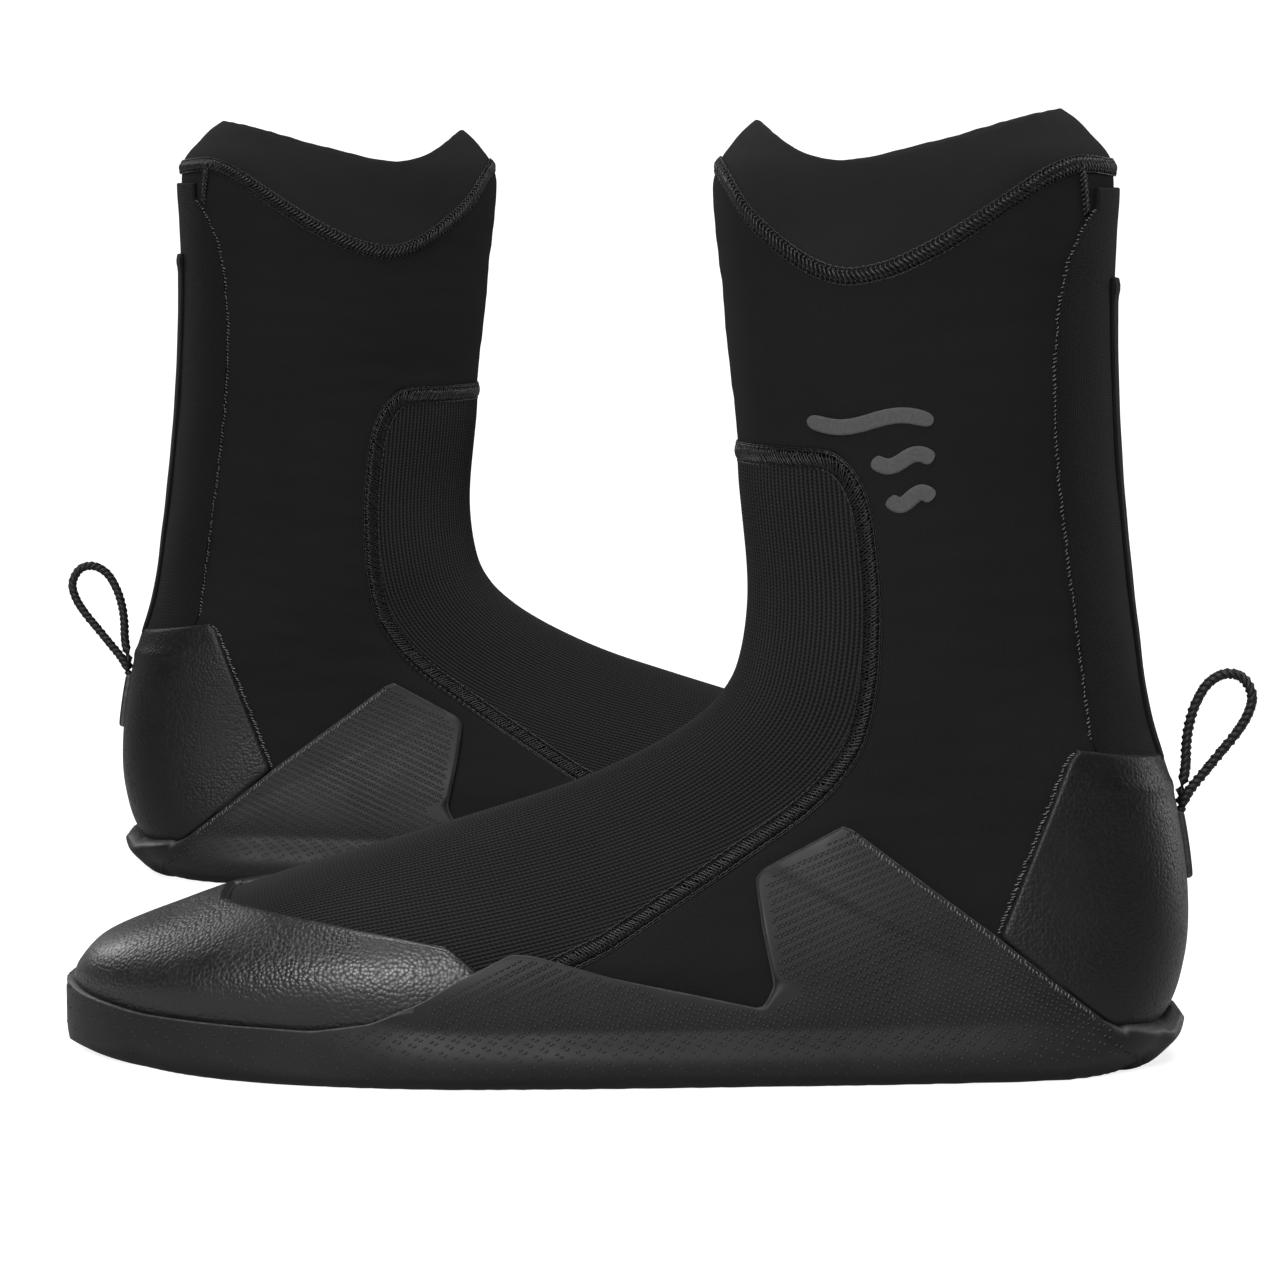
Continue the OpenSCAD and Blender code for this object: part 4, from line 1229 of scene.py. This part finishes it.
def cuff_stitching():
    v = np.linspace(-0.995, 0.995, 700)
    route = Route(np.stack([lookup(np.abs(v), CUFF_T), v], -1), soft=20)
    end = route.length - 0.5
    parts = [
        strokes(route, 0.5, end, 1.25, -1.25, 1.35, 2.2, 0.42, 0.1, 0.55, 101),
        strokes(route, 1.1, end, 1.25, -1.9, 0.2, -0.9, 0.24, 0.0, 0.55, 102),
        strokes(route, 0.8, end, 1.25, 0.6, 2.1, 0.9, 0.22, 0.0, 0.40, 103),
        strand(route, 0.5, end, -2.0, 0.12, 0.24, 0.10),
        strand(route, 0.5, end, 2.2, 0.05, 0.18, 0.08),
    ]
    # The short upright seam from the cuff down to the corner of the Achilles panel
    for sign in (1, -1):
        z = np.linspace(229.5, 217.5, 40)
        line = locate(np.stack([30.8 - 0.12 * (229.5 - z), z], -1)) * [1, sign]
        short = Route(line)
        parts += [strokes(short, 0.3, short.length, 1.2, -1.0, 1.0, 1.6, 0.36, 0.1, 0.5, 104),
                  strand(short, 0.3, short.length, -1.5, 0.1, 0.22, 0.08)]
    build("cuff_stitching", *join(parts), THREAD, stands_for="cuff_stitching")


def instep_route():
    corner = KNIT_V[0, 1]
    t = np.linspace(KNIT_TOP, 16.2, 500)[1:]
    across = np.stack([np.full(60, KNIT_TOP), np.linspace(0, corner, 60)], -1)
    down = np.stack([t, lookup(t, KNIT_V)], -1)
    return Route(both_sides(np.concatenate([across, down])), soft=25)


def instep_stitching():
    route = instep_route()
    end = route.length - 0.5
    parts = [
        strokes(route, 0.5, end, 0.86, -2.0, 2.0, 2.6, 0.24, 0.05, 0.5, 111, wobble=0.3),
        strokes(route, 0.9, end, 0.86, 2.0, -2.0, 0.6, 0.18, 0.0, 0.36, 112, wobble=0.4),
        strand(route, 0.5, end, 2.25, 0.10, 0.26, 0.10),
        strand(route, 0.5, end, -2.25, 0.10, 0.26, 0.10),
        strand(route, 0.5, end, -2.75, 0.02, 0.16, 0.06),
    ]
    build("instep_stitching", *join(parts), THREAD, stands_for="instep_stitching")


def edge_stitching():
    """Small light stitches along the glued edges of the wing, heel cup and Achilles panel."""
    # Each line with the stitches' pitch, height, slant and radius
    lines = [
        ([[87.4, 62.4], [53.0, 37.2], [27, 16.4]], 1.0, 2.75, 0.9, 0.15),
        ([[32.2, 83], [34.2, 81], [51.0, 38.2]], 0.8, 1.35, 1.2, 0.13),
        ([[27, 219], [29.6, 216.1], [34.3, 207], [36.8, 195.5], [37.8, 180], [37.3, 162],
          [35.8, 146.5], [33.8, 131], [30.8, 109], [27.8, 86]], 1.1, 0.75, 1.1, 0.11),
    ]
    parts = []
    for sign in (1, -1):
        for n, (line, pitch, lift, slant, radius) in enumerate(lines):
            route = Route(locate(drawn(line, 3)) * [1, sign])
            parts.append(strokes(route, 0.3, route.length, pitch, -0.35 * sign, 0.35 * sign,
                                 slant * 0.5, radius, lift - 0.15, 0.3, 121 + n, wobble=0.35))
    build("edge_stitching", *join(parts), GLUE_THREAD, slot="instep_stitching")


for make in (pull_loops, shaft_panel, instep_panel, cuff, bottom_panel, lining, insole,
             outsole, outsole_texture, toe_cap, heel_cup, loop_tab, achilles_panel,
             back_seam_tape, side_print, cuff_stitching, instep_stitching, edge_stitching):
    make()

# ---------------------------------------------------------------- floor and light

floor_mesh = bpy.data.meshes.new("floor")
floor_mesh.from_pydata([(-1, -1, 0), (1, -1, 0), (1, 1, 0), (-1, 1, 0)], [], [(0, 1, 2, 3)])
floor = bpy.data.objects.new("floor", floor_mesh)
scene.collection.objects.link(floor)
pale = Nodes("pale_floor", rough=0.9)
pale.bsdf.inputs["Base Color"].default_value = (0.45, 0.45, 0.45, 1)
pale.bsdf.inputs["Emission Color"].default_value = (1, 1, 1, 1)
glow = pale.spread(pale.add("ShaderNodeLightPath").outputs["Is Camera Ray"], 0, 1, 0.0, 0.8)
pale.put(pale.bsdf.inputs["Emission Strength"], glow)
floor_mesh.materials.append(pale.mat)

world = bpy.data.worlds.new("studio")
world.use_nodes = True
nodes, links = world.node_tree.nodes, world.node_tree.links
nodes["Background"].inputs["Color"].default_value = (1, 1, 1, 1)
seen = nodes.new("ShaderNodeLightPath")
level = nodes.new("ShaderNodeMapRange")
level.inputs["To Min"].default_value = 0.12
level.inputs["To Max"].default_value = 1.2
links.new(seen.outputs["Is Camera Ray"], level.inputs["Value"])
links.new(level.outputs["Result"], nodes["Background"].inputs["Strength"])
scene.world = world
scene.view_settings.view_transform = "Standard"


def softbox(name, at, towards, size, watts):
    data = bpy.data.lights.new(name, "AREA")
    data.shape = "RECTANGLE"
    data.size, data.size_y = size
    data.energy = watts
    lamp = bpy.data.objects.new(name, data)
    scene.collection.objects.link(lamp)
    lamp.location = at
    lamp.rotation_euler = (Vector(towards) - Vector(at)).to_track_quat("-Z", "Y").to_euler()


softbox("key_softbox", (-0.45, -1.75, 0.80), (-0.05, -0.2, 0.03), (0.8, 0.40), 34)
softbox("left_softbox", (-1.25, 1.15, 0.95), (-0.1, -0.1, 0.05), (0.7, 0.7), 9)
softbox("right_softbox", (1.6, 0.75, 0.45), (0.1, -0.1, 0.08), (0.5, 0.9), 8)
softbox("top_softbox", (0.15, -0.3, 1.9), (0, 0, 0), (1.6, 0.6), 36)
